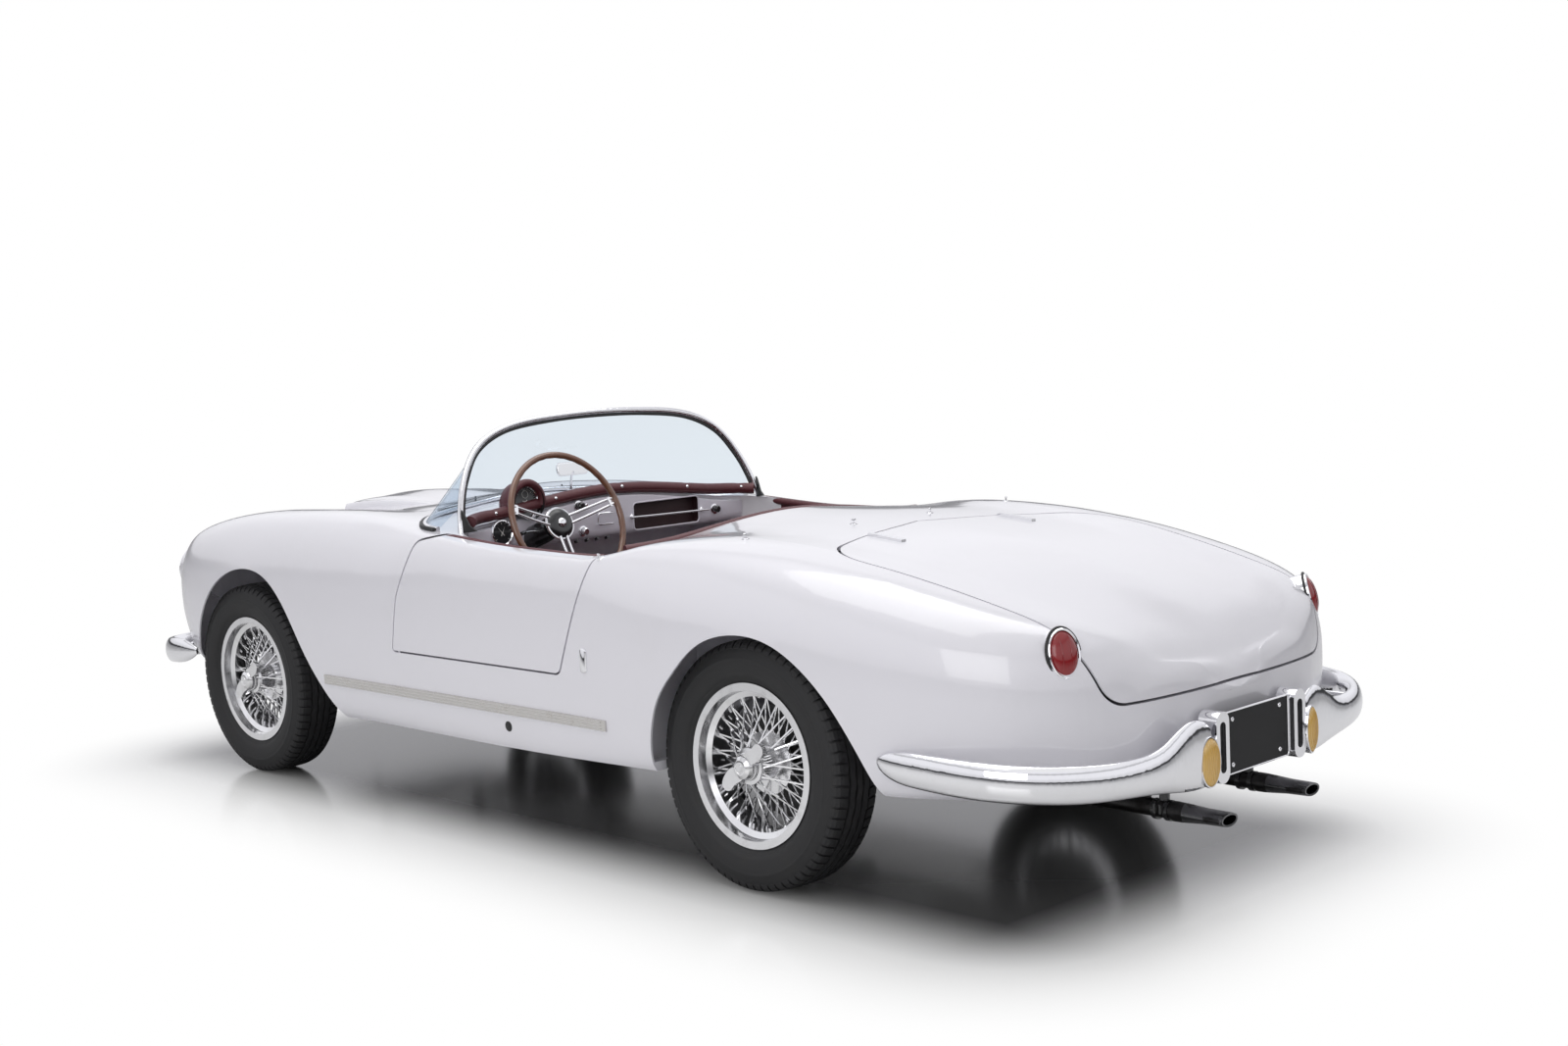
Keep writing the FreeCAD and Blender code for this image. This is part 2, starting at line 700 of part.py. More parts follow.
for wing in panels["rear_wings"]:
    side = 1 if wing.CenterOfMass.x > 0 else -1
    wings.append(wing.fuse(buffer(side * (boot_half_width + 14), boot_front_y + 180, boot_ledge_z)))
nodes["rear_wings"] = Part.makeCompound(wings)
nodes["tonneau_and_tail"] = Part.makeCompound(panels["tonneau_and_tail"])
nodes["boot_floor"] = Part.makeCompound(panels["boot_floor"])
scoop, mouth = scoop_shape()
bonnet = outer.common(bonnet_prism(0.0)).cut(inside_lid)
nodes["bonnet"] = bonnet.fuse(scoop.cut(mouth).cut(inside_lid))
nodes["boot_lid"] = outer.common(lid_prism(0.0)).cut(inside_lid)
pin_hole = tube(V(door_pivot_x, door_pivot_y, 400),
                V(door_pivot_x, door_pivot_y, sill_top_z + door_pivot_height + 1),
                door_pivot_radius + running_gap)
door = outer.common(door_prism(0.0, door_inner_x)).cut(pin_hole)
nodes["door_left"] = door
nodes["door_right"] = mirrored(door)


# Wheels, built once in their own frame: the axle along +X, outboard positive

def turned(profile, axis=V(1, 0, 0), centre=V(0, 0, 0)):
    """Solid of revolution of an (x, radius) outline about the axle."""
    points = [V(x, 0, r) for x, r in profile]
    return Part.Face(Part.makePolygon(points + [points[0]])).revolve(centre, axis, 360)


def tyre_shape():
    """Tyre carcass with rounded shoulders and bulged walls."""
    bead, wall, tread = rim_width / 2 - rim_wall - 1.5, tyre_width / 2, tread_flat / 2
    height = tyre_radius - rim_seat_radius
    half = [(tread, tyre_radius - 2.0), (tread + 13, tyre_radius - 11),
            (wall - 4, tyre_radius - 0.28 * height),
            (wall, tyre_radius - 0.48 * height), (wall - 6, rim_seat_radius + 0.28 * height),
            (bead, rim_flange_radius + 3), (bead, rim_seat_radius + seat_touch)]
    other = [(-x, r) for x, r in reversed(half)]
    return turned([(0, tyre_radius)] + half + other)


def spoke(start_x, start_r, start_turn, end_x, end_r, end_turn):
    """One wire spoke from the hub to the rim, as a slim square bar."""
    a, b = math.radians(start_turn), math.radians(end_turn)
    start = V(start_x, start_r * math.sin(a), start_r * math.cos(a))
    end = V(end_x, end_r * math.sin(b), end_r * math.cos(b))
    along = end - start
    across = along.cross(V(1, 0, 0))
    across.normalize()
    other = along.cross(across)
    other.normalize()
    h = spoke_width / 2
    corners = [start + across * h * i + other * h * j for i, j in ((1, 1), (-1, 1), (-1, -1), (1, -1))]
    return prism(corners, along)


def spoke_row(count, start_x, start_r, end_x, end_r, lean):
    """Spokes laced in crossing pairs all round the wheel."""
    step = 360.0 / count
    return [spoke(start_x, start_r, k * step, end_x, end_r, k * step + (lean if k % 2 else -lean))
            for k in range(count)]


def rim_shape():
    """Rim with its two flanges, bead seats and drop centre."""
    edge = rim_width / 2
    outside = [(-edge, rim_flange_radius), (-edge + rim_wall, rim_flange_radius),
               (-edge + rim_wall, rim_seat_radius),
               (-edge + 28, rim_seat_radius - 3), (-edge + 36, rim_well_radius), (edge - 36, rim_well_radius),
               (edge - 28, rim_seat_radius - 3), (edge - rim_wall, rim_seat_radius),
               (edge - rim_wall, rim_flange_radius), (edge, rim_flange_radius)]
    inside = [(edge, rim_seat_radius - 6), (edge - 24, rim_seat_radius - 9), (edge - 32, rim_well_radius - 6),
              (-edge + 32, rim_well_radius - 6), (-edge + 24, rim_seat_radius - 9),
              (-edge, rim_seat_radius - 6)]
    return turned(outside + inside)


def hub_shape():
    """Hub barrel with a small outer flange, a large inner flange and the bore for the stub axle."""
    r, ro, ri = hub_barrel_radius, hub_outer_radius, hub_inner_radius
    profile = [(hub_back_x, hub_bore_radius), (hub_back_x, r), (-12, r + 4), (-9, ri), (-2, ri), (4, r + 6),
               (hub_front_x - 14, r + 1), (hub_front_x - 10, ro), (hub_front_x - 2, ro - 3), (hub_front_x, r),
               (hub_front_x, 6.0), (stub_length - 62, 6.0), (stub_length - 62, hub_bore_radius)]
    return turned(profile)


def spinner_shape():
    """Two-eared knock-off nut that closes the hub."""
    boss = turned([(hub_front_x - 1, 0), (hub_front_x - 1, 33), (hub_front_x + 16, 33),
                   (spinner_front_x - 6, 29),
                   (spinner_front_x, 20), (spinner_front_x, 0)])
    half = spinner_span / 2
    x0 = spinner_front_x - 22
    ears = [V(x0, -24, 12), V(x0, -half + 14, 15), V(x0, -half, 2), V(x0, -half + 8, -19),
            V(x0, -half + 40, -20),
            V(x0, -20, -24), V(x0, 24, -12), V(x0, half - 14, -15), V(x0, half, -2), V(x0, half - 8, 19),
            V(x0, half - 40, 20), V(x0, 20, 24)]
    wings = Part.Face(smooth_wire(ears, True)).extrude(V(spinner_thickness, 0, 0))
    wings.rotate(V(0, 0, 0), V(1, 0, 0), 38)
    return [boss, wings]


def wheel_shape():
    """Wire wheel: rim, two rows of spokes, hub and spinner."""
    inner_x, outer_x = -5.5, hub_front_x - 6
    spokes = (spoke_row(spokes_outer_row, outer_x, hub_outer_radius - 6, -8, rim_well_radius - 3, 16.0)
              + spoke_row(spokes_inner_row, inner_x, hub_inner_radius - 4, 12, rim_well_radius - 3, 11.0))
    return hub_shape().multiFuse([rim_shape()] + spinner_shape() + spokes)


def wheel_centre(track, axle_y, camber):
    """Centre of a left wheel whose tyre just touches the floor when leaned by its camber."""
    lean = math.radians(abs(camber))
    height = tyre_radius * math.cos(lean) + tread_flat / 2 * math.sin(lean)
    height -= 2.0 * math.cos(lean) * (lean > 0)
    return V(track / 2, axle_y, max(height, tyre_radius * math.cos(lean)))


def placed(shape, centre, camber):
    """A wheel-frame shape put on the left side; positive camber leans its top outward."""
    moved = shape.copy()
    moved.rotate(V(0, 0, 0), V(0, 1, 0), camber)
    moved.translate(centre)
    return moved


front_centre = wheel_centre(front_track, front_axle_y, front_camber)
rear_centre = wheel_centre(rear_track, rear_axle_y, rear_camber)
tyre = tyre_shape()
wheel = wheel_shape()
for end, centre, camber in (("front", front_centre, -front_camber), ("rear", rear_centre, -rear_camber)):
    nodes["tyre_" + end + "_left"] = placed(tyre, centre, camber)
    nodes["tyre_" + end + "_right"] = mirrored(nodes["tyre_" + end + "_left"])
    nodes["wheel_" + end + "_left"] = placed(wheel, centre, camber)
    nodes["wheel_" + end + "_right"] = mirrored(nodes["wheel_" + end + "_left"])


# Axles, pillars and knuckles

stub_radius = hub_bore_radius - stub_clearance


def stub_axle(inner_x, centre, camber):
    """Stub in the hub's bore, along the wheel's own axis, with the brake's back plate behind the hub."""
    bar = Part.makeCylinder(stub_radius, stub_length - 66 - (inner_x - centre.x), V(inner_x - centre.x, 0, 0),
                            V(1, 0, 0))
    back = hub_back_x - 8
    plate = Part.makeCylinder(back_plate_radius, back_plate_thickness, V(back - back_plate_thickness, 0, 0),
                              V(1, 0, 0))
    return placed(bar.fuse(plate), centre, camber)


def rear_axle_shape():
    """Rear axle tube with its differential, hung from the floor on four posts."""
    z = rear_centre.z
    inboard = rear_track / 2 + hub_back_x - 8
    whole = [tube(V(-inboard, rear_axle_y, z), V(inboard, rear_axle_y, z), axle_tube_radius),
             tube(V(-differential_length / 2, rear_axle_y, z), V(differential_length / 2, rear_axle_y, z),
                  differential_radius)]
    for x in (-370, 370):
        whole.append(tube(V(x, rear_axle_y, z), V(x, rear_axle_y, axle_tunnel_top_z), 17))
    whole += both_sides(stub_axle(inboard - 12, rear_centre, -rear_camber))
    return joined(whole)


def front_axle_shape():
    """Front crossmember with its upright pillars, held to the wheel wells by upper arms."""
    whole = [tube(V(-pillar_x, front_axle_y, crossbar_z), V(pillar_x, front_axle_y, crossbar_z), 24)]
    for side in (-1, 1):
        foot = V(side * pillar_x, front_axle_y, pillar_low_z - 12)
        whole.append(tube(foot, V(side * pillar_x, front_axle_y, pillar_high_z), pillar_radius))
        low, high = sorted((side * front_well_inner_x, side * (pillar_x + 12)))
        whole.append(box((low, front_axle_y - 22, pillar_high_z - 40),
                         (high, front_axle_y + 22, pillar_high_z - 8)))
        whole.append(tube(V(side * 200, front_axle_y, crossbar_z),
                          V(side * 200, front_axle_y, bay_floor_z - 12), 20))
    return joined(whole)


def knuckle_shape():
    """Left knuckle: a sleeve that turns on the pillar and carries the stub axle and brake drum."""
    z = front_centre.z
    sleeve = tube(V(pillar_x, front_axle_y, z - knuckle_height / 2),
                  V(pillar_x, front_axle_y, z + knuckle_height / 2),
                  knuckle_radius)
    stub = stub_axle(pillar_x + 6, front_centre, -front_camber)
    arm = box((pillar_x - 14, front_axle_y + 20, z - 62), (pillar_x + 14, front_axle_y + 150, z - 42))
    whole = sleeve.multiFuse([stub, arm]).removeSplitter()
    return whole.cut(tube(V(pillar_x, front_axle_y, 0), V(pillar_x, front_axle_y, 900),
                          pillar_radius + running_gap))


nodes["rear_axle"] = rear_axle_shape()
nodes["front_axle"] = front_axle_shape()
nodes["knuckle_left"] = knuckle_shape()
nodes["knuckle_right"] = mirrored(nodes["knuckle_left"])


# Engine bay

engine_rear_y = engine_front_y + engine_length
nodes["engine_block"] = box((-engine_width / 2, engine_front_y, bay_floor_z),
                            (engine_width / 2, engine_rear_y, bay_floor_z + engine_height))


# Cockpit furniture

def dashboard_shape():
    """Painted dash panel under the scuttle, with its openings for the glovebox and the column."""
    width = cockpit_half_width - 60
    panel = box((-width, cockpit_front_y + seat_touch, dash_low_z),
                (width, cockpit_front_y + dash_depth, 1000))
    panel = panel.common(inside_lid).common(cockpit_prism(-seat_touch))
    pocket = box((-366, cockpit_front_y + 12, 799), (-90, cockpit_front_y + dash_depth + 10, 873))
    column = tube(column_point(-200), column_point(600), column_radius + 4)
    return panel.cut([pocket, column])


def column_point(along):
    """Point on the steering column's centre line, measured forward from the hub."""
    tilt = math.radians(steering_tilt)
    return steering_hub + V(0, -math.cos(tilt), -math.sin(tilt)) * along


def steering_wheel_shape():
    """Dished wood-rimmed wheel with three pairs of bar spokes, and the shaft that enters the column."""
    forward = column_point(1) - column_point(0)
    rim = Part.makeTorus(steering_rim_radius, steering_grip_radius, V(0, 0, -steering_dish), V(0, 0, 1))
    boss = Part.makeCylinder(26, 34, V(0, 0, -6), V(0, 0, 1))
    shaft = Part.makeCylinder(column_bore, 80, V(0, 0, 20), V(0, 0, 1))
    parts = [boss, shaft]
    for turn in (0, 120, 240):
        for offset in (-7, 7):
            arm = tube(V(12, offset, 0), V(steering_rim_radius, offset, -steering_dish), 3.2)
            arm.rotate(V(0, 0, 0), V(0, 0, 1), turn + 30)
            parts.append(arm)
    whole = rim.multiFuse(parts)
    whole.Placement = FreeCAD.Placement(steering_hub, FreeCAD.Rotation(V(0, 0, 1), forward))
    return whole


def column_shape():
    """Column tube from just behind the wheel's boss to the firewall, with a bracket up to the dash."""
    start = column_point(36)
    end = column_point((steering_hub.y - firewall_y + 30) / math.cos(math.radians(steering_tilt)))
    whole = tube(start, end, column_radius)
    beyond = box((0, firewall_y - 200, 300), (700, firewall_y + seat_touch, 1000))
    return whole.cut([tube(start, column_point(110), column_bore + running_gap), beyond])


def dash_roll_shape():
    """Padded roll along the top of the dash, curving back at each end."""
    r = dash_roll_radius
    corner = cockpit_front_corner - r - 0.6
    centre_x, centre_y = cockpit_half_width - cockpit_front_corner, cockpit_front_y + cockpit_front_corner
    places = []
    for degrees in (-40, -58, -75, -88):
        t = math.radians(degrees)
        places.append((centre_x + corner * math.cos(t), centre_y + corner * math.sin(t)))
    places += [(330, cockpit_front_y + r + 0.6), (150, cockpit_front_y + r + 0.6)]
    left = [V(x, y, dash_roll_z(x)) for x, y in places]
    middle = V(0, cockpit_front_y + r + 0.6, dash_roll_z(0))
    return swept_bar(left + [middle] + [V(-p.x, p.y, p.z) for p in reversed(left)], r)


def dash_roll_z(x):
    """Height of the roll's centre: on the scuttle's edge in the middle and a little higher at its ends."""
    rise = 14.0 * min(1.0, (x / 500.0) ** 2)
    return surface_z(x, cockpit_front_y, lid_skin) + dash_roll_radius + 3.0 + rise


def seat_shape():
    """Left seat: a plain cushion and a leaning back, as one piece."""
    inner, outer_side = tunnel_half_width + 25, cockpit_half_width - 70
    cushion = prism([V(inner, seat_front_y, floor_top_z + 70), V(inner, seat_front_y, seat_front_z),
                     V(inner, seat_front_y + 60, seat_front_z + 18),
                     V(inner, seat_rear_y - 90, seat_front_z - 25),
                     V(inner, seat_rear_y - 90, floor_top_z + 20)], V(outer_side - inner, 0, 0))
    back = prism([V(inner, seat_rear_y - 190, seat_front_z - 60), V(inner, seat_rear_y - 80, seat_top_z),
                  V(inner, seat_rear_y - 10, seat_top_z - 12), V(inner, seat_rear_y - 60, floor_top_z + 20),
                  V(inner, seat_rear_y - 120, floor_top_z + 20)], V(outer_side - inner, 0, 0))
    rails = box((inner + 40, seat_front_y + 40, floor_top_z),
                (outer_side - 40, seat_rear_y - 80, floor_top_z + 75))
    return joined([cushion, back, rails])


nodes["dashboard"] = dashboard_shape()
nodes["dash_roll"] = dash_roll_shape()
nodes["steering_column"] = column_shape()
nodes["steering_wheel"] = steering_wheel_shape()
nodes["seat_left"] = seat_shape()
nodes["seat_right"] = mirrored(nodes["seat_left"])
tunnel = box((-tunnel_half_width, firewall_y, floor_top_z),
             (tunnel_half_width, cabin_rear_y, floor_top_z + tunnel_height))
nodes["gearbox_tunnel"] = tunnel
lever_foot = V(0, -150, floor_top_z + tunnel_height)
lever = tube(lever_foot, lever_foot + V(0, 40, 190), 6).fuse(Part.makeSphere(19, lever_foot + V(0, 40, 190)))
nodes["gear_lever"] = lever.cut(tunnel)


# Windscreen

def hoop_y(z):
    """The hoop leans forward with height."""
    return hoop_foot_y - hoop_lean * (z - hoop_foot_z)


hoop_half = [(hoop_foot_x, hoop_foot_z - 14), (606, 935), (569, 1018), (500, 1103), (378, 1158), (198, 1180)]


def hoop_points():
    """Hoop centre line from the left foot over the top to the right foot."""
    left = [V(x, hoop_y(z), z) for x, z in hoop_half]
    return left + [V(0, hoop_y(hoop_top_z), hoop_top_z)] + [V(-p.x, p.y, p.z) for p in reversed(left)]


base_half = [(0, screen_base_front_y), (230, -622), (430, -565), (565, -485), (636, -395), (646, -320)]


def base_point(x, y, lift):
    """Point above the scuttle, where the screen's foot runs."""
    return V(x, y, surface_z(x, y) + lift)


def screen_glass():
    """Wrap-round glass between the base line on the scuttle and the hoop."""
    pairs = [(0, hoop_top_z, 0), (228, 1177, 1), (405, 1148, 2), (513, 1090, 3), (577, 1003, 4),
             (603, 942, 5)]
    low, high = [], []
    for x, z, i in pairs:
        foot = base_point(base_half[i][0], base_half[i][1], 8.3)
        head = V(x, hoop_y(z), z)
        up = head - foot
        up.normalize()
        low.append(foot + up * 9.0)
        high.append(head - up * (hoop_radius + 1.0))
    sheets = []
    for line in (low, high):
        whole = [V(-p.x, p.y, p.z) for p in reversed(line[1:])] + line
        curve = Part.BSplineCurve()
        curve.interpolate(Points=whole, Parameters=[i / 10.0 for i in range(11)])
        sheets.append(curve.toShape())
    return Part.makeRuledSurface(sheets[0], sheets[1]).makeOffsetShape(-glass_thickness, 0.01, fill=True)


def screen_trim(grow=0.0):
    """Bright strip along the foot of the glass."""
    left = [base_point(x, y, 7.6) for x, y in base_half]
    whole = [V(-p.x, p.y, p.z) for p in reversed(left[1:])] + left
    return swept_bar(whole, 7.5 + grow).cut(outer)


hoop = swept_bar(hoop_points(), hoop_radius).cut(outer)
trim = screen_trim()
nodes["windscreen_frame"] = Part.makeCompound([hoop, trim])
around_hoop = swept_bar(hoop_points(), hoop_radius + seat_touch)
nodes["windscreen_glass"] = screen_glass().cut([around_hoop, screen_trim(seat_touch)])


# Bumpers: (x, y, middle z, height, depth) along each, from the wing end to the middle of the car

rear_sections = [(752, 1545, 400, 22, 8), (756, 1580, 398, 58, 26), (754, 1680, 394, 84, 40),
                 (740, 1810, 389, 88, 44),
                 (694, 1932, 384, 88, 46), (600, 2022, 378, 88, 46), (462, 2072, 374, 90, 46),
                 (372, 2084, 377, 112, 42), (310, 2091, 388, 150, 38), (262, 2097, 392, 164, 32),
                 (212, 2101, 384, 138, 26)]
front_half = [(740, -1678, 398, 22, 8), (745, -1712, 397, 58, 24), (742, -1785, 392, 84, 38),
              (722, -1880, 384, 88, 44),
              (676, -1972, 374, 88, 46), (575, -2048, 368, 88, 46), (430, -2078, 368, 90, 44),
              (200, -2087, 368, 90, 42)]


def bumper_ring(sections, i):
    """Rounded cross-section of a bumper, square to its run."""
    x, y, z, height, depth = sections[i]
    before = sections[max(i - 1, 0)]
    after = sections[min(i + 1, len(sections) - 1)]
    along = V(after[0] - before[0], after[1] - before[1], 0)
    along.normalize()
    out = along.cross(V(0, 0, -1))
    points = []
    for degrees in range(0, 360, 30):
        t = math.radians(degrees)
        points.append(V(x, y, z) + out * (depth / 2 * math.cos(t)) + V(0, 0, height / 2 * math.sin(t)))
    curve = Part.BSplineCurve()
    curve.interpolate(Points=points + [points[0]], Parameters=[k / 12.0 for k in range(13)])
    return Part.Wire(curve.toShape())


def bumper_shape(sections, brackets, reach):
    """Bumper blade with its round bracket bars that end at the body's skin."""
    blade = Part.makeLoft([bumper_ring(sections, i) for i in range(len(sections))], True, False)
    bars = [tube(V(x, y + reach, z), V(x, y, z), 9) for x, y, z in brackets]
    return sorted(blade.multiFuse(bars).cut(outer).Solids, key=lambda solid: -solid.Volume)[0]


def overrider(x):
    """Upright horn on the front bumper."""
    horn = Part.makeSphere(1.0)
    scale = FreeCAD.Matrix()
    scale.scale(V(27, overrider_depth, 92))
    horn = horn.transformGeometry(scale)
    horn.translate(V(x, overrider_front_y + overrider_depth, 388))
    return horn.common(box((x - 50, overrider_front_y - 1, 200), (x + 50, overrider_front_y + 65, 600)))


rear_blade = bumper_shape(rear_sections, [(600, 2010, 384), (330, 2086, 378)], -180)
nodes["bumpers_rear"] = Part.makeCompound(both_sides(rear_blade))
other_half = [(-x, y, z, h, d) for x, y, z, h, d in reversed(front_half)]
front_sections = front_half + [(0, -2089, 368, 90, 42)] + other_half
front_blade = bumper_shape(front_sections, [(x, -2060, 374) for x in (-560, -220, 220, 560)], 180)
nodes["bumper_front"] = front_blade.multiFuse([overrider(-232), overrider(232)]).cut(outer)


# Lamps, grille and plate

def lamp_dome(centre, half_width_x, half_height, depth, turn):
    """Oval dome turned outward about the upright."""
    dome = Part.makeSphere(1.0)
    scale = FreeCAD.Matrix()
    scale.scale(V(half_width_x, depth, half_height))
    dome = dome.transformGeometry(scale)
    dome.rotate(V(0, 0, 0), V(0, 0, 1), turn)
    dome.translate(centre)
    return dome


def dish(centre, outer_radius, inner_radius, depth):
    """Round ring that faces the front of the car, with a softened outer edge."""
    profile = [(0, inner_radius), (0, outer_radius), (-depth * 0.6, outer_radius), (-depth, outer_radius - 4),
               (-depth, inner_radius)]
    points = [V(r, y, 0) for y, r in profile]
    ring = Part.Face(Part.makePolygon(points + [points[0]])).revolve(V(0, 0, 0), V(0, 1, 0), 360)
    ring.translate(centre)
    return ring


def round_lens(centre, radius, bulge):
    """Round glass that faces the front of the car and bulges forward."""
    ball_radius = (radius ** 2 + bulge ** 2) / (2 * bulge)
    ball = Part.makeSphere(ball_radius, V(centre.x, centre.y + ball_radius - bulge, centre.z))
    block = tube(V(centre.x, centre.y - bulge - 1, centre.z), V(centre.x, centre.y + 8, centre.z), radius)
    return block.common(ball)


tail_centre = V(tail_lamp_x, tail_lamp_y, tail_lamp_z)
half_w, half_h = tail_lamp_width / 2, tail_lamp_height / 2
tail_lens = largest(lamp_dome(tail_centre, half_w - 3, half_h - 3, 42, tail_lamp_turn).cut(outer))
tail_seat = lamp_dome(tail_centre, half_w - 2.7, half_h - 2.7, 60, tail_lamp_turn)
tail_bezel = lamp_dome(tail_centre, half_w + 6, half_h + 6, 24, tail_lamp_turn)
tail_bezel = largest(tail_bezel.cut([outer, tail_seat]))
nodes["tail_lamp_lenses"] = Part.makeCompound(both_sides(tail_lens))
nodes["tail_lamp_bezels"] = Part.makeCompound(both_sides(tail_bezel))

small_body = tube(V(small_centre.x, small_centre.y, small_centre.z),
                  V(small_centre.x, small_centre.y + 90, small_centre.z), small_lamp_radius)
small_rim = largest(small_body.cut([outer, housing]))
small_rim = small_rim.fuse(dish(small_centre, small_lamp_radius, small_lamp_radius - 6, 7))
nodes["headlamp_rims"] = Part.makeCompound(
    both_sides(dish(head_centre, head_lamp_radius, head_lamp_radius - 9, 14)) + both_sides(small_rim))
head_lens = round_lens(V(head_centre.x, head_centre.y - 8.3, head_centre.z), head_lamp_radius - 9.3, 22)
small_lens = round_lens(V(small_centre.x, small_centre.y - 8.3, small_centre.z), small_lamp_radius - 6.3, 10)
nodes["headlamp_lenses"] = Part.makeCompound(both_sides(head_lens) + both_sides(small_lens))


def grille_shape():
    """Bright frame that follows the nose, with upright slats set back inside it."""
    nose = outer.common(box((-grille_half_width - 20, nose_y - 5, grille_low_z - 40),
                            (grille_half_width + 20, nose_y + 110, grille_high_z + 40)))
    proud, deep = nose.copy(), nose.copy()
    proud.translate(V(0, -6, 0))
    deep.translate(V(0, 34, 0))
    frame = proud.common(shield(-seat_touch)).cut([shield(-grille_frame_width), deep])
    slats = []
    step = 2.0 * grille_half_width / grille_slats
    shoulder_x, shoulder_z = grille_half_width - 12, grille_high_z - 120
    for k in range(1, grille_slats):
        x = -grille_half_width + k * step
        foot = grille_low_z
        if abs(x) > grille_foot_half_width:
            climb = (abs(x) - grille_foot_half_width) / (shoulder_x - grille_foot_half_width)
            foot += climb * (shoulder_z - grille_low_z)
        beyond = max(0.0, abs(x) - (grille_half_width - grille_corner))
        head = grille_high_z - grille_corner + math.sqrt(grille_corner ** 2 - beyond ** 2)
        heights = [foot + 11 + (head - 22 - foot) * i / 6.0 for i in range(7)]
        front = [V(x - 2.5, skin_y(abs(x), z, -1) + 10, z) for z in heights]
        back = [V(x - 2.5, point.y + 22, point.z) for point in reversed(front)]
        slats.append(prism(front + back, V(5, 0, 0)))
    return largest(frame.multiFuse(slats))


nodes["grille"] = grille_shape()

plate_mid_z = (plate_low_z + plate_high_z) / 2
plate = box((-plate_half_width, plate_y - 4, plate_low_z), (plate_half_width, plate_y, plate_high_z))
plate_arm = box((-70, tail_y, plate_mid_z + 4), (70, plate_y - 3, plate_mid_z + 44))
nodes["number_plate"] = plate.fuse(plate_arm)


def upright_slot(half_x, half_z, low_y, high_y):
    """Upright block with fully rounded ends beside the plate."""
    corners = [V(plate_lamp_x + i * half_x, low_y, plate_mid_z + j * half_z)
               for i, j in ((-1, -1), (1, -1), (1, 1), (-1, 1))]
    outline = rounded_outline(corners, [half_x - 1.0] * 4)
    return Part.Face(outline).extrude(V(0, high_y - low_y, 0))


pod = upright_slot(plate_lamp_width / 2, plate_lamp_height / 2, plate_lamp_front_y, plate_lamp_face_y)
pocket = upright_slot(plate_lamp_width / 2 - 15, plate_lamp_height / 2 - 25,
                      plate_lamp_face_y - plate_lamp_pocket,
                      plate_lamp_face_y + 10)
pod_arm = tube(V(plate_lamp_x, tail_y - 30, plate_mid_z + 25),
               V(plate_lamp_x, plate_lamp_front_y + 5, plate_mid_z + 25), 12)
slim_plate = box((-plate_half_width - 1, plate_y - 5, plate_low_z - 1),
                 (plate_half_width + 1, plate_y + 1, plate_high_z + 1))
plate_lamp = largest(pod.fuse(pod_arm).cut([pocket, outer, slim_plate]))
nodes["plate_lamps"] = Part.makeCompound(both_sides(plate_lamp))
reflector = lamp_dome(V(222, bumper_end_y - 14, 371), 34, 61, 20, 0).cut([rear_blade, nodes["plate_lamps"]])
reflector = largest(reflector.common(box((100, bumper_end_y - 16, 200), (300, bumper_end_y + 40, 500))))
nodes["reflectors"] = Part.makeCompound(both_sides(reflector))


# Bright strips, hinge blades and trim

def skin_strip(low, high, out):
    """Strip of the body's skin inside a box, standing out by the vector out."""
    proud = outer.copy()
    proud.translate(out)
    return largest(proud.common(box(low, high)).cut(outer))


strip = skin_strip((600, sill_strip_front_y, sill_strip_low_z), (900, sill_strip_rear_y, sill_strip_high_z),
                   V(5, 0, 0))
nodes["sill_strips"] = Part.makeCompound(both_sides(strip))
blade = skin_strip((lid_hinge_x - 9, lid_front_y + 32, 700), (lid_hinge_x + 9, lid_front_y + 188, 1000),
                   V(0, 0, 7))
blade = largest(blade.common(lid_prism(-1.0)))
nodes["lid_hinge_blades"] = Part.makeCompound(both_sides(blade))
door_trim = box((cockpit_half_width + 2, -700, door_low_z + 18), (door_inner_x - seat_touch, 700, 1000))
door_trim = door_trim.common(door_prism(-6.0, cockpit_half_width)).common(inside_wing)
nodes["door_trim_left"] = door_trim
nodes["door_trim_right"] = mirrored(door_trim)


def coaming_shape():
    """Padded roll along the cockpit's rear edge, just inside the rim."""
    r = coaming_radius
    y = cockpit_rear_y - r - seat_touch
    points = [V(x, y - (abs(x) / 610.0) ** 6 * 38.0, surface_z(x, cockpit_rear_y + 8) - r + 4)
              for x in (605, 560, 470, 300, 0, -300, -470, -560, -605)]
    return swept_bar(points, r)


nodes["rear_coaming"] = coaming_shape()


# Exhausts along the floor

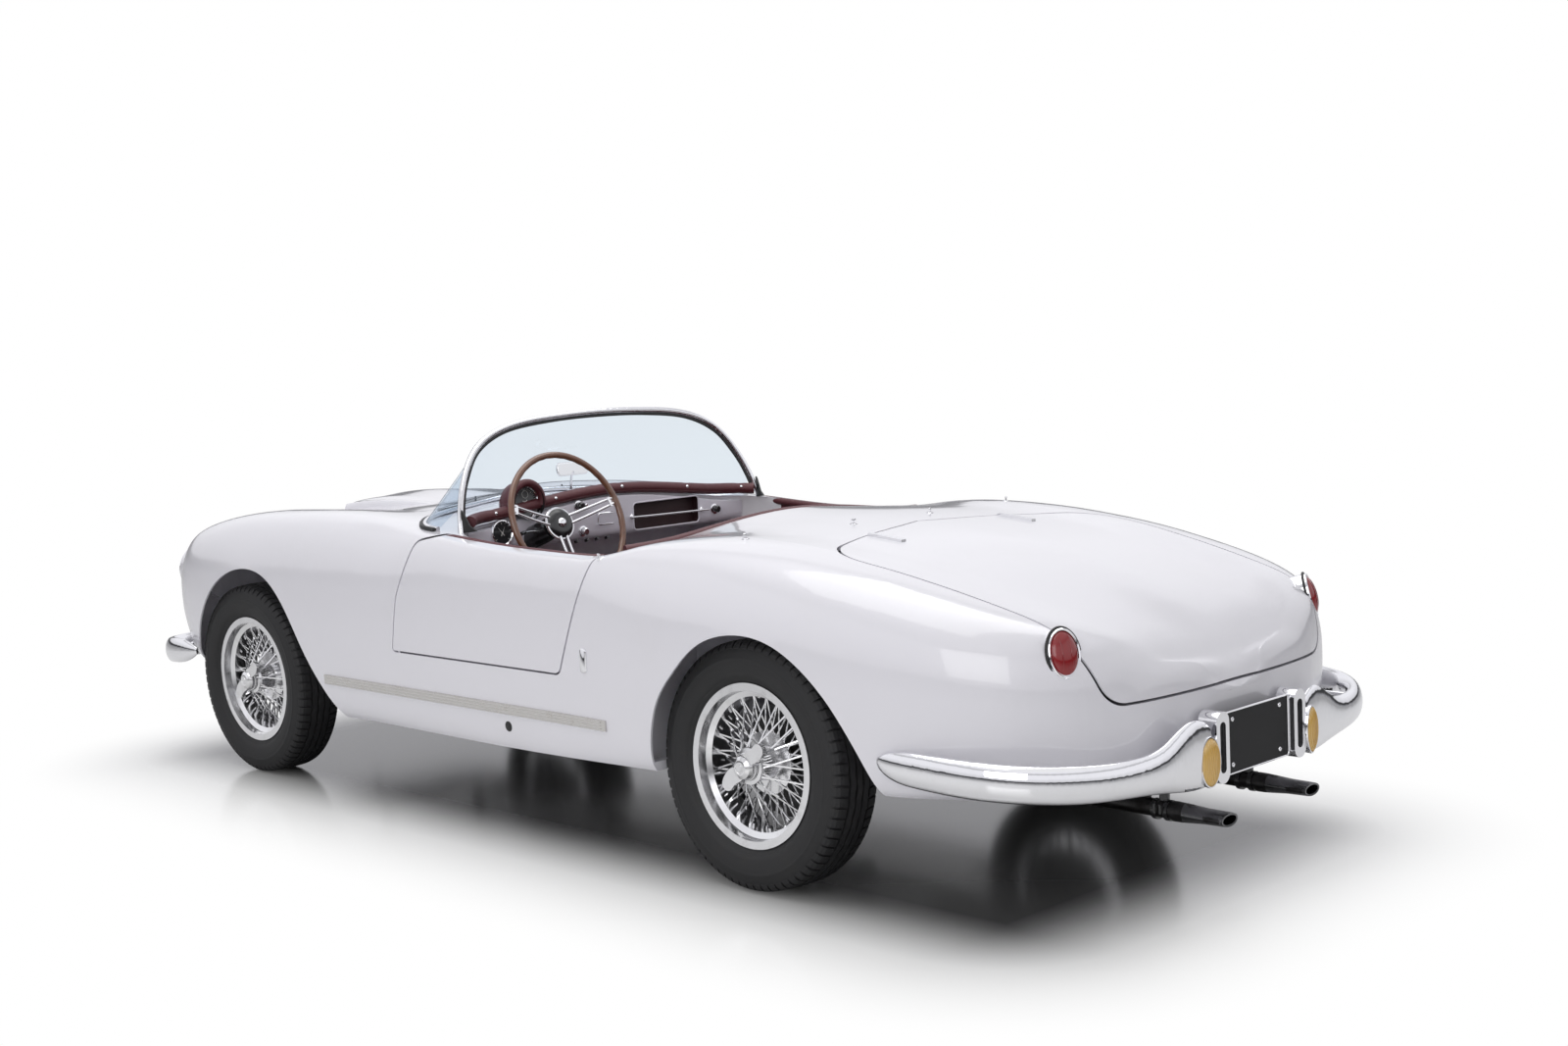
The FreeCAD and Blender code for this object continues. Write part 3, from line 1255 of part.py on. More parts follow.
def exhaust_shape():
    """Pipe with a silencer, two hangers and a flattened open tip."""
    x = tailpipe_x
    z_front = bottom_z(0) - pipe_radius - 6
    points = [V(x - 30, -560, z_front), V(x - 30, 200, z_front), V(x - 10, 800, z_front),
              V(x, 1400, tailpipe_z + 6),
              V(x, tailpipe_tip_y - 100, tailpipe_z)]
    pipe = swept_bar(points, pipe_radius)
    silencer = tube(V(x - 27, 250, z_front - 12), V(x - 17, 640, z_front - 12), silencer_radius)
    rings = []
    for y, half_x, half_z in ((-150, 1.12, 1.12), (-110, 1.16, 1.04), (-60, 1.42, 0.8), (0, 1.55, 0.7)):
        circle = Part.makeCircle(1.0, V(0, 0, 0), V(0, 1, 0))
        curve = circle.toNurbs()
        matrix = FreeCAD.Matrix()
        matrix.scale(V(pipe_radius * half_x, 1, pipe_radius * half_z))
        curve = curve.transformGeometry(matrix)
        curve.translate(V(x, tailpipe_tip_y + y, tailpipe_z))
        rings.append(Part.Wire(curve.Edges))
    tip = Part.makeLoft(rings, True, False)
    bore = lamp_dome(V(x, tailpipe_tip_y, tailpipe_z), pipe_radius * 1.34, pipe_radius * 0.5, 90, 0)
    hangers = [box((x - 6, y, z), (x + 6, y + 24, bottom_z(y) + 2)).cut(outer)
               for y, z in ((1890, tailpipe_z), (1450, tailpipe_z), (300, z_front))]
    return pipe.multiFuse([silencer, tip] + hangers).cut(bore)


nodes["exhausts"] = Part.makeCompound(both_sides(exhaust_shape()))

os.makedirs("parts", exist_ok=True)
for name, shape in nodes.items():
    shape.exportStep("parts/" + name + ".step")
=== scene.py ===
import bpy
import bmesh
import json
import math
from mathutils import Matrix, Vector, noise
from mathutils.bvhtree import BVHTree


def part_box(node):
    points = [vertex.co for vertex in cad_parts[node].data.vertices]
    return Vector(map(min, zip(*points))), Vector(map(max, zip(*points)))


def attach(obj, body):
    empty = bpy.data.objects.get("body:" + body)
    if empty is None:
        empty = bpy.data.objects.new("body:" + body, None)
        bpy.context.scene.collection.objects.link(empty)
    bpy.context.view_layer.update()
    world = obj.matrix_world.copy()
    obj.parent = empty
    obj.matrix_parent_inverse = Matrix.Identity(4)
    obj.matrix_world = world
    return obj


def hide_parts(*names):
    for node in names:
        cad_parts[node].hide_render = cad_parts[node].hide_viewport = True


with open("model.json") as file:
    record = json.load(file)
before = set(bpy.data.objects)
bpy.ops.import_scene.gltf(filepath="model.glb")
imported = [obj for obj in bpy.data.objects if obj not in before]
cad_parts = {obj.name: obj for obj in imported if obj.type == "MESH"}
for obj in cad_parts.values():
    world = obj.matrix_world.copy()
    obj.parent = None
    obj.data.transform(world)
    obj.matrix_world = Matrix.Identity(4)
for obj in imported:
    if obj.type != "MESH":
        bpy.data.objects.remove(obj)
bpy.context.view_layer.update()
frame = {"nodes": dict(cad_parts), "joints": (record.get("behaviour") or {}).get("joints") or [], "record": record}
bpy.context.scene.view_settings.view_transform = "Standard"
nodes = frame["nodes"]
print("frame loaded,", len(nodes), "CAD nodes")


def addToScene(name, data):
    obj = bpy.data.objects.new(name, data)
    bpy.context.scene.collection.objects.link(obj)
    return obj


# Camera at the photograph's viewpoint, angles in degrees

camera = {"place": (4.1191, 4.6595, 1.4093), "azimuth": 135.188, "pitch": 5.443, "roll": -2.591,
          "lens": 45.596, "sensor": 36}


def addCamera():
    azimuth, pitch, roll = (math.radians(camera[key]) for key in ("azimuth", "pitch", "roll"))
    level = math.cos(pitch)
    back = Vector((math.sin(azimuth) * level, -math.cos(azimuth) * level, math.sin(pitch)))
    right = (-back).cross(Vector((0, 0, 1))).normalized()
    up = right.cross(-back)
    right, up = right * math.cos(roll) + up * math.sin(roll), up * math.cos(roll) - right * math.sin(roll)
    matrix = Matrix((right, up, back)).transposed().to_4x4()
    matrix.translation = Vector(camera["place"])
    data = bpy.data.cameras.new("camera")
    data.lens = camera["lens"]
    data.sensor_width = camera["sensor"]
    obj = addToScene("camera", data)
    obj.matrix_world = matrix
    bpy.context.scene.camera = obj


addCamera()

# Node helpers; an input is a value, a socket, or a node, which then gives its first output

floatKind, colourKind, vectorKind = "NodeSocketFloat", "NodeSocketColor", "NodeSocketVector"


def outputOf(value):
    return value.outputs[0] if isinstance(value, bpy.types.Node) else value


def setInputs(tree, node, inputs):
    for key, value in inputs.items():
        value = outputOf(value)
        if isinstance(value, bpy.types.NodeSocket):
            tree.links.new(value, node.inputs[key])
        else:
            node.inputs[key].default_value = value


def addNode(tree, kind, inputs=None, **settings):
    node = tree.nodes.new("ShaderNode" + kind)
    for key, value in settings.items():
        setattr(node, key, value)
    setInputs(tree, node, inputs or {})
    return node


def calculate(tree, operation, *values):
    return addNode(tree, "Math", dict(enumerate(values)), operation=operation)


def mixColours(tree, amount, first, second):
    return addNode(tree, "Mix", {0: amount, 6: first, 7: second}, data_type="RGBA").outputs[2]


def remap(tree, value, fromMin, fromMax, toMin=0.0, toMax=1.0, **settings):
    ends = {"From Min": fromMin, "From Max": fromMax, "To Min": toMin, "To Max": toMax}
    return addNode(tree, "MapRange", {"Value": value, **ends}, **settings)


def objectPlace(tree):
    return addNode(tree, "TexCoord").outputs["Object"]


def newTree(name):
    mat = bpy.data.materials.new(name)
    mat.use_nodes = True
    return mat, mat.node_tree, mat.node_tree.nodes["Principled BSDF"]


def newGroup(name, inputs, outputs):
    group = bpy.data.node_groups.new(name, "ShaderNodeTree")
    for label, kind, default in inputs:
        socket = group.interface.new_socket(name=label, in_out="INPUT", socket_type=kind)
        socket.default_value = default
    for label, kind in outputs:
        group.interface.new_socket(name=label, in_out="OUTPUT", socket_type=kind)
    return group, group.nodes.new("NodeGroupInput").outputs, group.nodes.new("NodeGroupOutput")


# Fine uneven surface: colour drift, soft marks and a bump, all from the place on the object

def makeSurfaceGroup():
    group, given, out = newGroup("uneven surface", [
        ("Colour", colourKind, (0.8, 0.8, 0.8, 1)), ("Marks Colour", colourKind, (0.1, 0.1, 0.1, 1)),
        ("Drift", floatKind, 0.05), ("Marks", floatKind, 0.1), ("Marks Scale", floatKind, 9.0),
        ("Roughness", floatKind, 0.4), ("Roughness Drift", floatKind, 0.1),
        ("Grain Scale", floatKind, 400.0), ("Grain Depth", floatKind, 0.1)],
        [("Colour", colourKind), ("Roughness", floatKind), ("Normal", vectorKind)])
    place = objectPlace(group)
    broad = addNode(group, "TexNoise", {"Vector": place, "Scale": 2.3, "Detail": 3.0})
    drift = mixColours(group, calculate(group, "MULTIPLY", broad, given["Drift"]), given["Colour"],
                       (0.05, 0.05, 0.06, 1))
    marks = addNode(group, "TexNoise", {"Vector": place, "Scale": given["Marks Scale"], "Detail": 8.0,
                                        "Roughness": 0.7})
    patches = remap(group, marks, 0.52, 0.75)
    mask = calculate(group, "MULTIPLY", patches, given["Marks"])
    rough = calculate(group, "MULTIPLY_ADD", patches, given["Roughness Drift"], given["Roughness"])
    grain = addNode(group, "TexNoise", {"Vector": place, "Scale": given["Grain Scale"], "Detail": 2.0})
    bump = addNode(group, "Bump", {"Height": grain, "Strength": given["Grain Depth"], "Distance": 0.0005})
    colour = mixColours(group, mask, drift, given["Marks Colour"])
    setInputs(group, out, {"Colour": colour, "Roughness": rough, "Normal": bump})
    return group


# Leather: pebbled grain from cells, with random tone; the creases between cells are darkened as painted shade

def makeLeatherGroup():
    group, given, out = newGroup("leather grain with crease shade", [
        ("Colour", colourKind, (0.15, 0.02, 0.03, 1)), ("Painted Crease Shade", colourKind, (0.04, 0.0, 0.01, 1)),
        ("Grain Scale", floatKind, 420.0), ("Depth", floatKind, 0.35)],
        [("Colour", colourKind), ("Roughness", floatKind), ("Normal", vectorKind)])
    place = objectPlace(group)
    warp = addNode(group, "TexNoise", {"Vector": place, "Scale": 30.0, "Detail": 3.0}).outputs["Color"]
    small = (0.004, 0.004, 0.004)
    moved = addNode(group, "VectorMath", {0: warp, 1: small, 2: place}, operation="MULTIPLY_ADD")
    cells = addNode(group, "TexVoronoi", {"Vector": moved, "Scale": given["Grain Scale"]},
                    feature="DISTANCE_TO_EDGE")
    edge = remap(group, cells, 0.0, 0.16)
    tone = addNode(group, "TexNoise", {"Vector": place, "Scale": 7.0, "Detail": 4.0})
    amount = calculate(group, "MULTIPLY", edge, remap(group, tone, 0.35, 0.75, 0.65, 1.0))
    bump = addNode(group, "Bump", {"Height": edge, "Strength": given["Depth"], "Distance": 0.0006})
    # the crease colour is painted shade in the grain's valleys, where the bump sinks; the tone noise varies it at
    # random
    colour = mixColours(group, amount, given["Painted Crease Shade"], given["Colour"])
    rough = remap(group, amount, 0.0, 1.0, 0.62, 0.38)
    setInputs(group, out, {"Colour": colour, "Roughness": rough, "Normal": bump})
    return group


surfaceGroup = makeSurfaceGroup()
leatherGroup = makeLeatherGroup()


def groupMaterial(name, group, values, shader):
    # the group gives colour, roughness and normal; shader values stay on the shader's own sockets
    mat, tree, bsdf = newTree(name)
    detail = addNode(tree, "Group", node_tree=group)
    setInputs(tree, detail, values)
    setInputs(tree, bsdf, {"Base Color": detail.outputs["Colour"], "Roughness": detail.outputs["Roughness"],
                           "Normal": detail.outputs["Normal"], **shader})
    return mat


def surfaceMaterial(name, colour, roughness, marksColour=(0.1, 0.1, 0.1), drift=0.04, marks=0.1,
                    marksScale=9.0, roughDrift=0.1, grainScale=400.0, grainDepth=0.1, shader=None):
    values = {"Colour": (*colour, 1), "Marks Colour": (*marksColour, 1), "Drift": drift, "Marks": marks,
              "Marks Scale": marksScale, "Roughness": roughness, "Roughness Drift": roughDrift,
              "Grain Scale": grainScale, "Grain Depth": grainDepth}
    return groupMaterial(name, surfaceGroup, values, shader or {})


# crease shade: darker colour painted into the grain's creases as shade
def leatherMaterial(name, colour, creaseShade):
    return groupMaterial(name, leatherGroup, {"Colour": (*colour, 1), "Painted Crease Shade": (*creaseShade, 1)},
                         {"Coat Weight": 0.15, "Coat Roughness": 0.35})


def lampGlassMaterial(name, colour, roughness):
    mat, tree, bsdf = newTree(name)
    setInputs(tree, bsdf, {"Base Color": (*colour, 1), "Roughness": roughness, "IOR": 1.5,
                           "Transmission Weight": 1.0})
    return mat


def screenMaterial():
    # clear tinted sheet that mirrors on its front faces only
    mat, tree, bsdf = newTree("windscreen glass")
    tree.nodes.remove(bsdf)
    clear = addNode(tree, "BsdfTransparent", {"Color": (0.87, 0.905, 0.935, 1)})
    gloss = addNode(tree, "BsdfGlossy", {"Roughness": 0.01, "Color": (0.9, 0.95, 1.0, 1)})
    fresnel = addNode(tree, "Fresnel", {"IOR": 1.25})
    front = calculate(tree, "SUBTRACT", 1.0, addNode(tree, "NewGeometry").outputs["Backfacing"])
    amount = calculate(tree, "MULTIPLY", fresnel, front)
    mix = addNode(tree, "MixShader", {0: amount, 1: clear, 2: gloss})
    setInputs(tree, tree.nodes["Material Output"], {"Surface": mix})
    return mat


def coat(weight, roughness=0.03):
    return {"Coat Weight": weight, "Coat Roughness": roughness}


metal = {"Metallic": 1.0}
mats = {
    "paint": surfaceMaterial("white paint", (0.80, 0.79, 0.845), 0.32, (0.62, 0.61, 0.60), drift=0.012,
                             marksScale=3.0, roughDrift=0.04, grainScale=260.0, grainDepth=0.012,
                             shader=coat(1.0, 0.04)),
    "dash_paint": surfaceMaterial("dash paint", (0.76, 0.73, 0.82), 0.3, drift=0.03, marks=0.06,
                                  grainScale=300.0, grainDepth=0.03, shader=coat(0.7, 0.12)),
    "tyre": surfaceMaterial("tyre rubber", (0.012, 0.012, 0.013), 0.66, (0.032, 0.030, 0.028), marks=0.5,
                            marksScale=26.0, grainScale=900.0, grainDepth=0.25),
    "wire_wheel": surfaceMaterial("wheel plating", (0.78, 0.78, 0.79), 0.16, (0.45, 0.44, 0.42), marks=0.35,
                                  marksScale=30.0, roughDrift=0.15, grainDepth=0.02, shader=metal),
    "running_gear": surfaceMaterial("running gear", (0.03, 0.03, 0.031), 0.55, (0.11, 0.09, 0.07), marks=0.5,
                                    marksScale=14.0, grainScale=350.0, grainDepth=0.5),
    "leather": leatherMaterial("maroon leather", (0.125, 0.016, 0.024), (0.045, 0.004, 0.008)),
    # piping is a lighter copy of the leather: painted highlight on the raised cords
    "welt": leatherMaterial("maroon piping painted lighter", (0.16, 0.020, 0.030), (0.07, 0.006, 0.012)),
    # lining is a darker copy of the leather: painted shade inside the glove pocket
    "lining": leatherMaterial("maroon lining painted darker", (0.030, 0.004, 0.007), (0.012, 0.001, 0.003)),
    "black": surfaceMaterial("gloss black", (0.012, 0.012, 0.013), 0.22, (0.05, 0.05, 0.05), marks=0.2,
                             grainDepth=0.03, shader=coat(0.4)),
    "plateBlack": surfaceMaterial("plate black", (0.010, 0.010, 0.011), 0.5, grainDepth=0.03,
                                  shader={"Specular IOR Level": 0.25}),
    "wood": surfaceMaterial("varnished wood", (0.16, 0.062, 0.028), 0.3, (0.06, 0.02, 0.01), marks=0.6,
                            marksScale=40.0, grainScale=240.0, shader=coat(0.8, 0.1)),
    "carpet": surfaceMaterial("black carpet", (0.014, 0.013, 0.014), 0.95, (0.03, 0.028, 0.03), marks=0.7,
                              marksScale=60.0, grainScale=900.0, grainDepth=1.0),
    "screen": screenMaterial(),
    "lamp_glass": lampGlassMaterial("lamp glass", (0.95, 0.96, 0.97), 0.03),
    "red_lens": surfaceMaterial("red lens", (0.26, 0.003, 0.006), 0.16, (0.12, 0.0, 0.0), marks=0.2,
                                grainDepth=0.02, shader=coat(0.5)),
    "amber_lens": surfaceMaterial("amber lens", (0.72, 0.46, 0.12), 0.15, (0.5, 0.25, 0.05), marks=0.3,
                                  grainDepth=0.02, shader=coat(1.0)),
    "steel": surfaceMaterial("pipe steel", (0.055, 0.054, 0.054), 0.32, (0.02, 0.018, 0.016), marks=0.8,
                             marksScale=8.0, roughDrift=0.25, shader=metal),
    "pipeTip": surfaceMaterial("dark pipe tip", (0.16, 0.16, 0.165), 0.22, shader=metal),
    "bright_strip": surfaceMaterial("bright strip", (0.60, 0.585, 0.565), 0.24, (0.5, 0.46, 0.42), marks=0.5,
                                    marksScale=30.0, shader=metal),
    "chrome": surfaceMaterial("chrome", (0.82, 0.82, 0.84), 0.05, (0.6, 0.6, 0.6), marks=0.15,
                              marksScale=18.0, roughDrift=0.04, grainDepth=0.006, shader=metal),
    "mirror": surfaceMaterial("silvered glass", (0.86, 0.87, 0.88), 0.02, marks=0.02, grainDepth=0.0,
                              shader=metal),
    "rubber": surfaceMaterial("seal rubber", (0.012, 0.012, 0.012), 0.5, marks=0.2),
    "gaugeFace": surfaceMaterial("gauge face", (0.015, 0.015, 0.017), 0.35, marks=0.05, grainDepth=0.02,
                                 shader=coat(1.0, 0.02)),
    "gaugeMarks": surfaceMaterial("gauge marks", (0.62, 0.62, 0.60), 0.5, grainDepth=0.0),
}

for part in frame["record"]["subparts"]:
    materials = nodes[part["node"]].data.materials
    materials.clear()
    materials.append(mats[part["material_slot"]])
nodes["number_plate"].data.materials[0] = mats["plateBlack"]
print("materials set")

# Mesh parts: each is a list of points and a list of faces


def meshOf(name, verts, faces):
    mesh = bpy.data.meshes.new(name)
    mesh.from_pydata([tuple(v) for v in verts], [], faces)
    mesh.validate()
    mesh.update()
    return mesh


def partOf(mesh):
    return [tuple(v.co) for v in mesh.vertices], [tuple(p.vertices) for p in mesh.polygons]


def joinMeshes(parts):
    verts, faces = [], []
    for v, f in parts:
        base = len(verts)
        verts += v
        faces += [tuple(base + i for i in face) for face in f]
    return verts, faces


def turnedBy(part, matrix):
    return [tuple(matrix @ Vector(v)) for v in part[0]], part[1]


def skin(loops, closed=False, caps=True):
    n, m = len(loops[0]), len(loops)
    verts = [tuple(p) for loop in loops for p in loop]
    faces = []
    for k in range(m if closed else m - 1):
        p, q = k * n, (k + 1) % m * n
        faces += [(p + i, p + (i + 1) % n, q + (i + 1) % n, q + i) for i in range(n)]
    if caps and not closed:
        faces += [tuple(range(n))[::-1], tuple(range((m - 1) * n, m * n))]
    return verts, faces


def circle(radius, sides=12, flat=1.0):
    return [(radius * math.cos(2 * math.pi * k / sides), radius * flat * math.sin(2 * math.pi * k / sides))
            for k in range(sides)]


def roundRect(width, height, radius, corner=5):
    points = []
    for cx, cy, start in ((1, 1, 0), (-1, 1, 90), (-1, -1, 180), (1, -1, 270)):
        for k in range(corner + 1):
            a = math.radians(start + 90 * k / corner)
            points.append((cx * (width / 2 - radius) + radius * math.cos(a),
                           cy * (height / 2 - radius) + radius * math.sin(a)))
    return points


def curve(points, steps):
    # smooth line through the points
    pts = [Vector(p) for p in points]
    result = []
    for i in range(len(pts) - 1):
        b, c = pts[i], pts[i + 1]
        a = pts[i - 1] if i else b * 2 - c
        d = pts[i + 2] if i + 2 < len(pts) else c * 2 - b
        for k in range(steps):
            t = k / steps
            result.append(0.5 * (2 * b + (c - a) * t + (2 * a - 5 * b + 4 * c - d) * t ** 2
                                 + (3 * b - a - 3 * c + d) * t ** 3))
    return result + [pts[-1]]


def sweep(path, section, closed=False, side=None, sizes=None):
    # the section's second axis leans towards side
    path = [Vector(p) for p in path]
    n = len(path)
    loops, out = [], Vector(side or (0.13, 0.21, 0.97))
    for i, p in enumerate(path):
        before = path[i - 1] if i or closed else p
        after = path[(i + 1) % n] if i < n - 1 or closed else p
        along = (after - before).normalized()
        lean = Vector(side) if side else out
        out = (lean - along * lean.dot(along)).normalized()
        across = along.cross(out)
        size = sizes[i] if sizes else 1.0
        loops.append([p + across * (a * size) + out * (b * size) for a, b in section])
    return skin(loops, closed)


def rod(path, radius, sides=8, **options):
    return sweep(path, circle(radius, sides), **options)


def lathe(profile, count=32):
    # profile: (radius, height)
    loops = [[(r * math.cos(2 * math.pi * k / count), r * math.sin(2 * math.pi * k / count), h)
              for k in range(count)] for r, h in profile]
    return skin(loops, caps=False)


def stack(layers):
    # layers: (outline, height)
    return skin([[(x, y, z) for x, y in outline] for outline, z in layers])


def slab(width, height, radius, depth, edge=0.001):
    outer = roundRect(width, height, radius)
    inner = roundRect(width - 2 * edge, height - 2 * edge, max(radius - edge, 0.0004))
    return stack([(outer, 0), (outer, depth - edge), (inner, depth)])


def placed(part, origin, axis=(0, 0, 1), up=(0, 0, 1)):
    # the part's own height runs along axis
    z = Vector(axis).normalized()
    x = Vector(up).cross(z)
    if x.length < 0.01:
        x = Vector((0, 1, 0)).cross(z)
    x.normalize()
    turn = Matrix((x, z.cross(x), z)).transposed()
    return [tuple(turn @ Vector(v) + Vector(origin)) for v in part[0]], part[1]


def placedAll(parts, origin, axis=(0, 0, 1)):
    return [placed(part, origin, axis) for part in parts]


def mirrored(part):
    return [(-x, y, z) for x, y, z in part[0]], [tuple(reversed(f)) for f in part[1]]


def bothSides(*parts):
    return [each for part in parts for each in (part, mirrored(part))]


def addPiece(name, parts, mat, body="body", sharp=38):
    mesh = meshOf(name, *joinMeshes(parts))
    bm = bmesh.new()
    bm.from_mesh(mesh)
    bmesh.ops.remove_doubles(bm, verts=bm.verts, dist=2e-6)
    bmesh.ops.recalc_face_normals(bm, faces=bm.faces)
    bm.to_mesh(mesh)
    bm.free()
    mesh.shade_smooth()
    mesh.set_sharp_from_angle(angle=math.radians(sharp))
    return dress(addToScene(name, mesh), mat, body)


def dress(obj, mat, body):
    obj.data.materials.append(mats[mat])
    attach(obj, body)
    return obj


def fromModifier(obj, kind, **settings):
    mod = obj.modifiers.new("step", kind)
    for key, value in settings.items():
        setattr(mod, key, value)
    keepShape(obj)


def keepShape(obj):
    graph = bpy.context.evaluated_depsgraph_get()
    obj.data = bpy.data.meshes.new_from_object(obj.evaluated_get(graph))
    obj.modifiers.clear()


def cutBy(obj, cutter):
    tool = addToScene("cutter", meshOf("cutter", *cutter))
    fromModifier(obj, "BOOLEAN", object=tool, solver="EXACT")
    bpy.data.objects.remove(tool)


# Rays onto the CAD panels, so that small pieces sit on their surface

trees = {}
down = (0, 0, -1)
decks = ("tonneau_and_tail", "rear_wings", "scuttle", "front_wings_and_nose", "door_left", "door_right")


def onPanel(names, start, direction):
    if names not in trees:
        trees[names] = BVHTree.FromPolygons(*joinMeshes([partOf(nodes[name].data) for name in names]))
    place, normal, _, _ = trees[names].ray_cast(Vector(start), Vector(direction))
    if normal is None:
        raise ValueError("no panel under " + str(start))
    return place, (normal if normal.dot(Vector(direction)) < 0 else -normal)


def onDeck(x, y):
    return onPanel(decks, (x, y, 2.0), down)


# Tyres: a carcass with ribbed walls, zigzag ribs round the middle and lugs along both shoulders

tyre = {"radius": 0.322, "crown": 0.0022, "halfTread": 0.056, "treadDepth": 0.0075, "steps": 144,
        "ribs": ((0.0, 0.017, 0), (0.0235, 0.0165, 1), (-0.0235, 0.0165, 1)), "ribWave": 0.0016,
        "lugs": 72, "lugGap": 0.22, "lugLean": 0.012,
        "wall": [(0.0585, 0.1995), (0.0592, 0.2120), (0.0650, 0.2185), (0.0700, 0.2230), (0.0708, 0.2262),
                 (0.0738, 0.2275), (0.0775, 0.2400), (0.0812, 0.2550), (0.0824, 0.2665), (0.0822, 0.2740),
                 (0.0832, 0.2760), (0.0818, 0.2785), (0.0800, 0.2870), (0.0768, 0.2970), (0.0725, 0.3045),
                 (0.0660, 0.3105), (0.0560, 0.3140), (0.0280, 0.3146)]}


def crownRadius(x):
    return tyre["radius"] - tyre["crown"] * (x / tyre["halfTread"]) ** 2


def onTyre(x, radius, turn):
    # the wheel's own axle is x
    return x, radius * math.sin(turn), radius * math.cos(turn)


def carcass():
    profile = tyre["wall"] + [(-x, r) for x, r in reversed(tyre["wall"])]
    steps, n = tyre["steps"], len(profile)
    verts = [onTyre(x, r, 2 * math.pi * k / steps) for k in range(steps) for x, r in profile]
    faces = []
    for k in range(steps):
        p, q = k * n, (k + 1) % steps * n
        faces += [(p + i, p + i + 1, q + i + 1, q + i) for i in range(n - 1)]
    return verts, faces


def rib(middle, width, phase):
    verts, faces = [], []
    steps, sunk = tyre["steps"], tyre["treadDepth"] + 0.002
    for k in range(steps):
        shift = tyre["ribWave"] * (abs(((k + phase) / 2.0) % 2 - 1) * 2 - 1)
        for edge, drop in ((-0.5, sunk), (-0.5, 0.0), (0.5, 0.0), (0.5, sunk)):
            x = middle + edge * width + shift
            verts.append(onTyre(x, crownRadius(x) - drop, 2 * math.pi * k / steps))
    for k in range(steps):
        p, q = k * 4, (k + 1) % steps * 4
        faces += [(p + i, p + i + 1, q + i + 1, q + i) for i in range(3)]
    return verts, faces


def shoulderLugs(side):
    verts, faces = [], []
    half = tyre["halfTread"]
    outline = [(half - 0.017, crownRadius(half - 0.017)), (half, crownRadius(half)), (half + 0.009, 0.3172),
               (half + 0.0165, 0.3095), (half + 0.0195, 0.3015)]
    n = len(outline)
    step = 2 * math.pi / tyre["lugs"]
    for k in range(tyre["lugs"]):
        base = len(verts)
        start = step * (k + 0.5 * (side > 0))
        for a in (start, start + step * (1 - tyre["lugGap"])):
            for i, (x, r) in enumerate(outline):
                for depth in (0.0, tyre["treadDepth"] + 0.0015):
                    inner = side * (x - depth * 0.25 * (i > 1))
                    verts.append(onTyre(inner, r - depth, a + tyre["lugLean"] * (i == 0)))
        for i in range(n - 1):
            p, q = base + 2 * i, base + 2 * (i + n)
            faces += [(p, p + 2, q + 2, q), (p, p + 1, p + 3, p + 2), (q, q + 2, q + 3, q + 1)]
        p, q = base + 2 * (n - 1), base + 2 * (2 * n - 1)
        faces += [(p, p + 1, q + 1, q), (base, base + 2 * n, base + 2 * n + 1, base + 1)]
    return verts, faces


def wheelPlaces():
    # each wheel's place, its body, and the matrix from its own axle to the car
    for joint in frame["joints"]:
        if joint["name"].endswith("_spin"):
            axis = Vector(joint["axis"]).normalized()
            outward = axis if joint["pos_m"][0] > 0 else -axis
            up = (Vector((0, 0, 1)) - outward * outward.z).normalized()
            matrix = Matrix((outward, up.cross(outward), up)).transposed().to_4x4()
            matrix.translation = Vector(joint["pos_m"])
            yield joint["name"][len("wheel_"):-len("_spin")], joint["child"], matrix


def addTyres():
    smooth = carcass()
    treads = [rib(*each) for each in tyre["ribs"]] + [shoulderLugs(1), shoulderLugs(-1)]
    verts, faces = joinMeshes([smooth] + treads)
    for place, body, matrix in wheelPlaces():
        mesh = meshOf("tyreDetail_" + place, verts, faces)
        mesh.transform(matrix)
        for index, face in enumerate(mesh.polygons):
            face.use_smooth = index < len(smooth[1])
        obj = dress(addToScene("tyreDetail_" + place, mesh), "tyre", body)
        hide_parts("tyre_" + place)


addTyres()
print("tyres done")

# Dash: painted panel with a rounded glove pocket, padded roll, instruments and small controls

dash = {"halfWidth": 0.574, "face": -0.266, "low": 0.783, "rear": -0.2985, "rearBend": 0.175,
        "pocketAt": (-0.228, 0.837), "pocketSize": (0.288, 0.088), "pocketCorner": 0.014,
        "rollRadius": 0.019, "rollY": -0.2804, "endAt": (0.477, -0.125), "endRadius": 0.1554,
        "studsAt": (0.47, 0.232, -0.04, -0.33, -0.555),
        "railFrom": (-0.076, 0.8375), "railTo": (-0.384, 0.8325),
        "handleFrom": (0.012, 0.862), "handleTo": (0.076, 0.826)}
towardsDriver = (0, 1, 0)


def dashBack(x):
    # straight along the scuttle and bent forward at both ends
    past = max(0.0, abs(x) - dash["endAt"][0])
    return dash["rear"] + dash["rearBend"] - math.sqrt(dash["rearBend"] ** 2 - past ** 2)


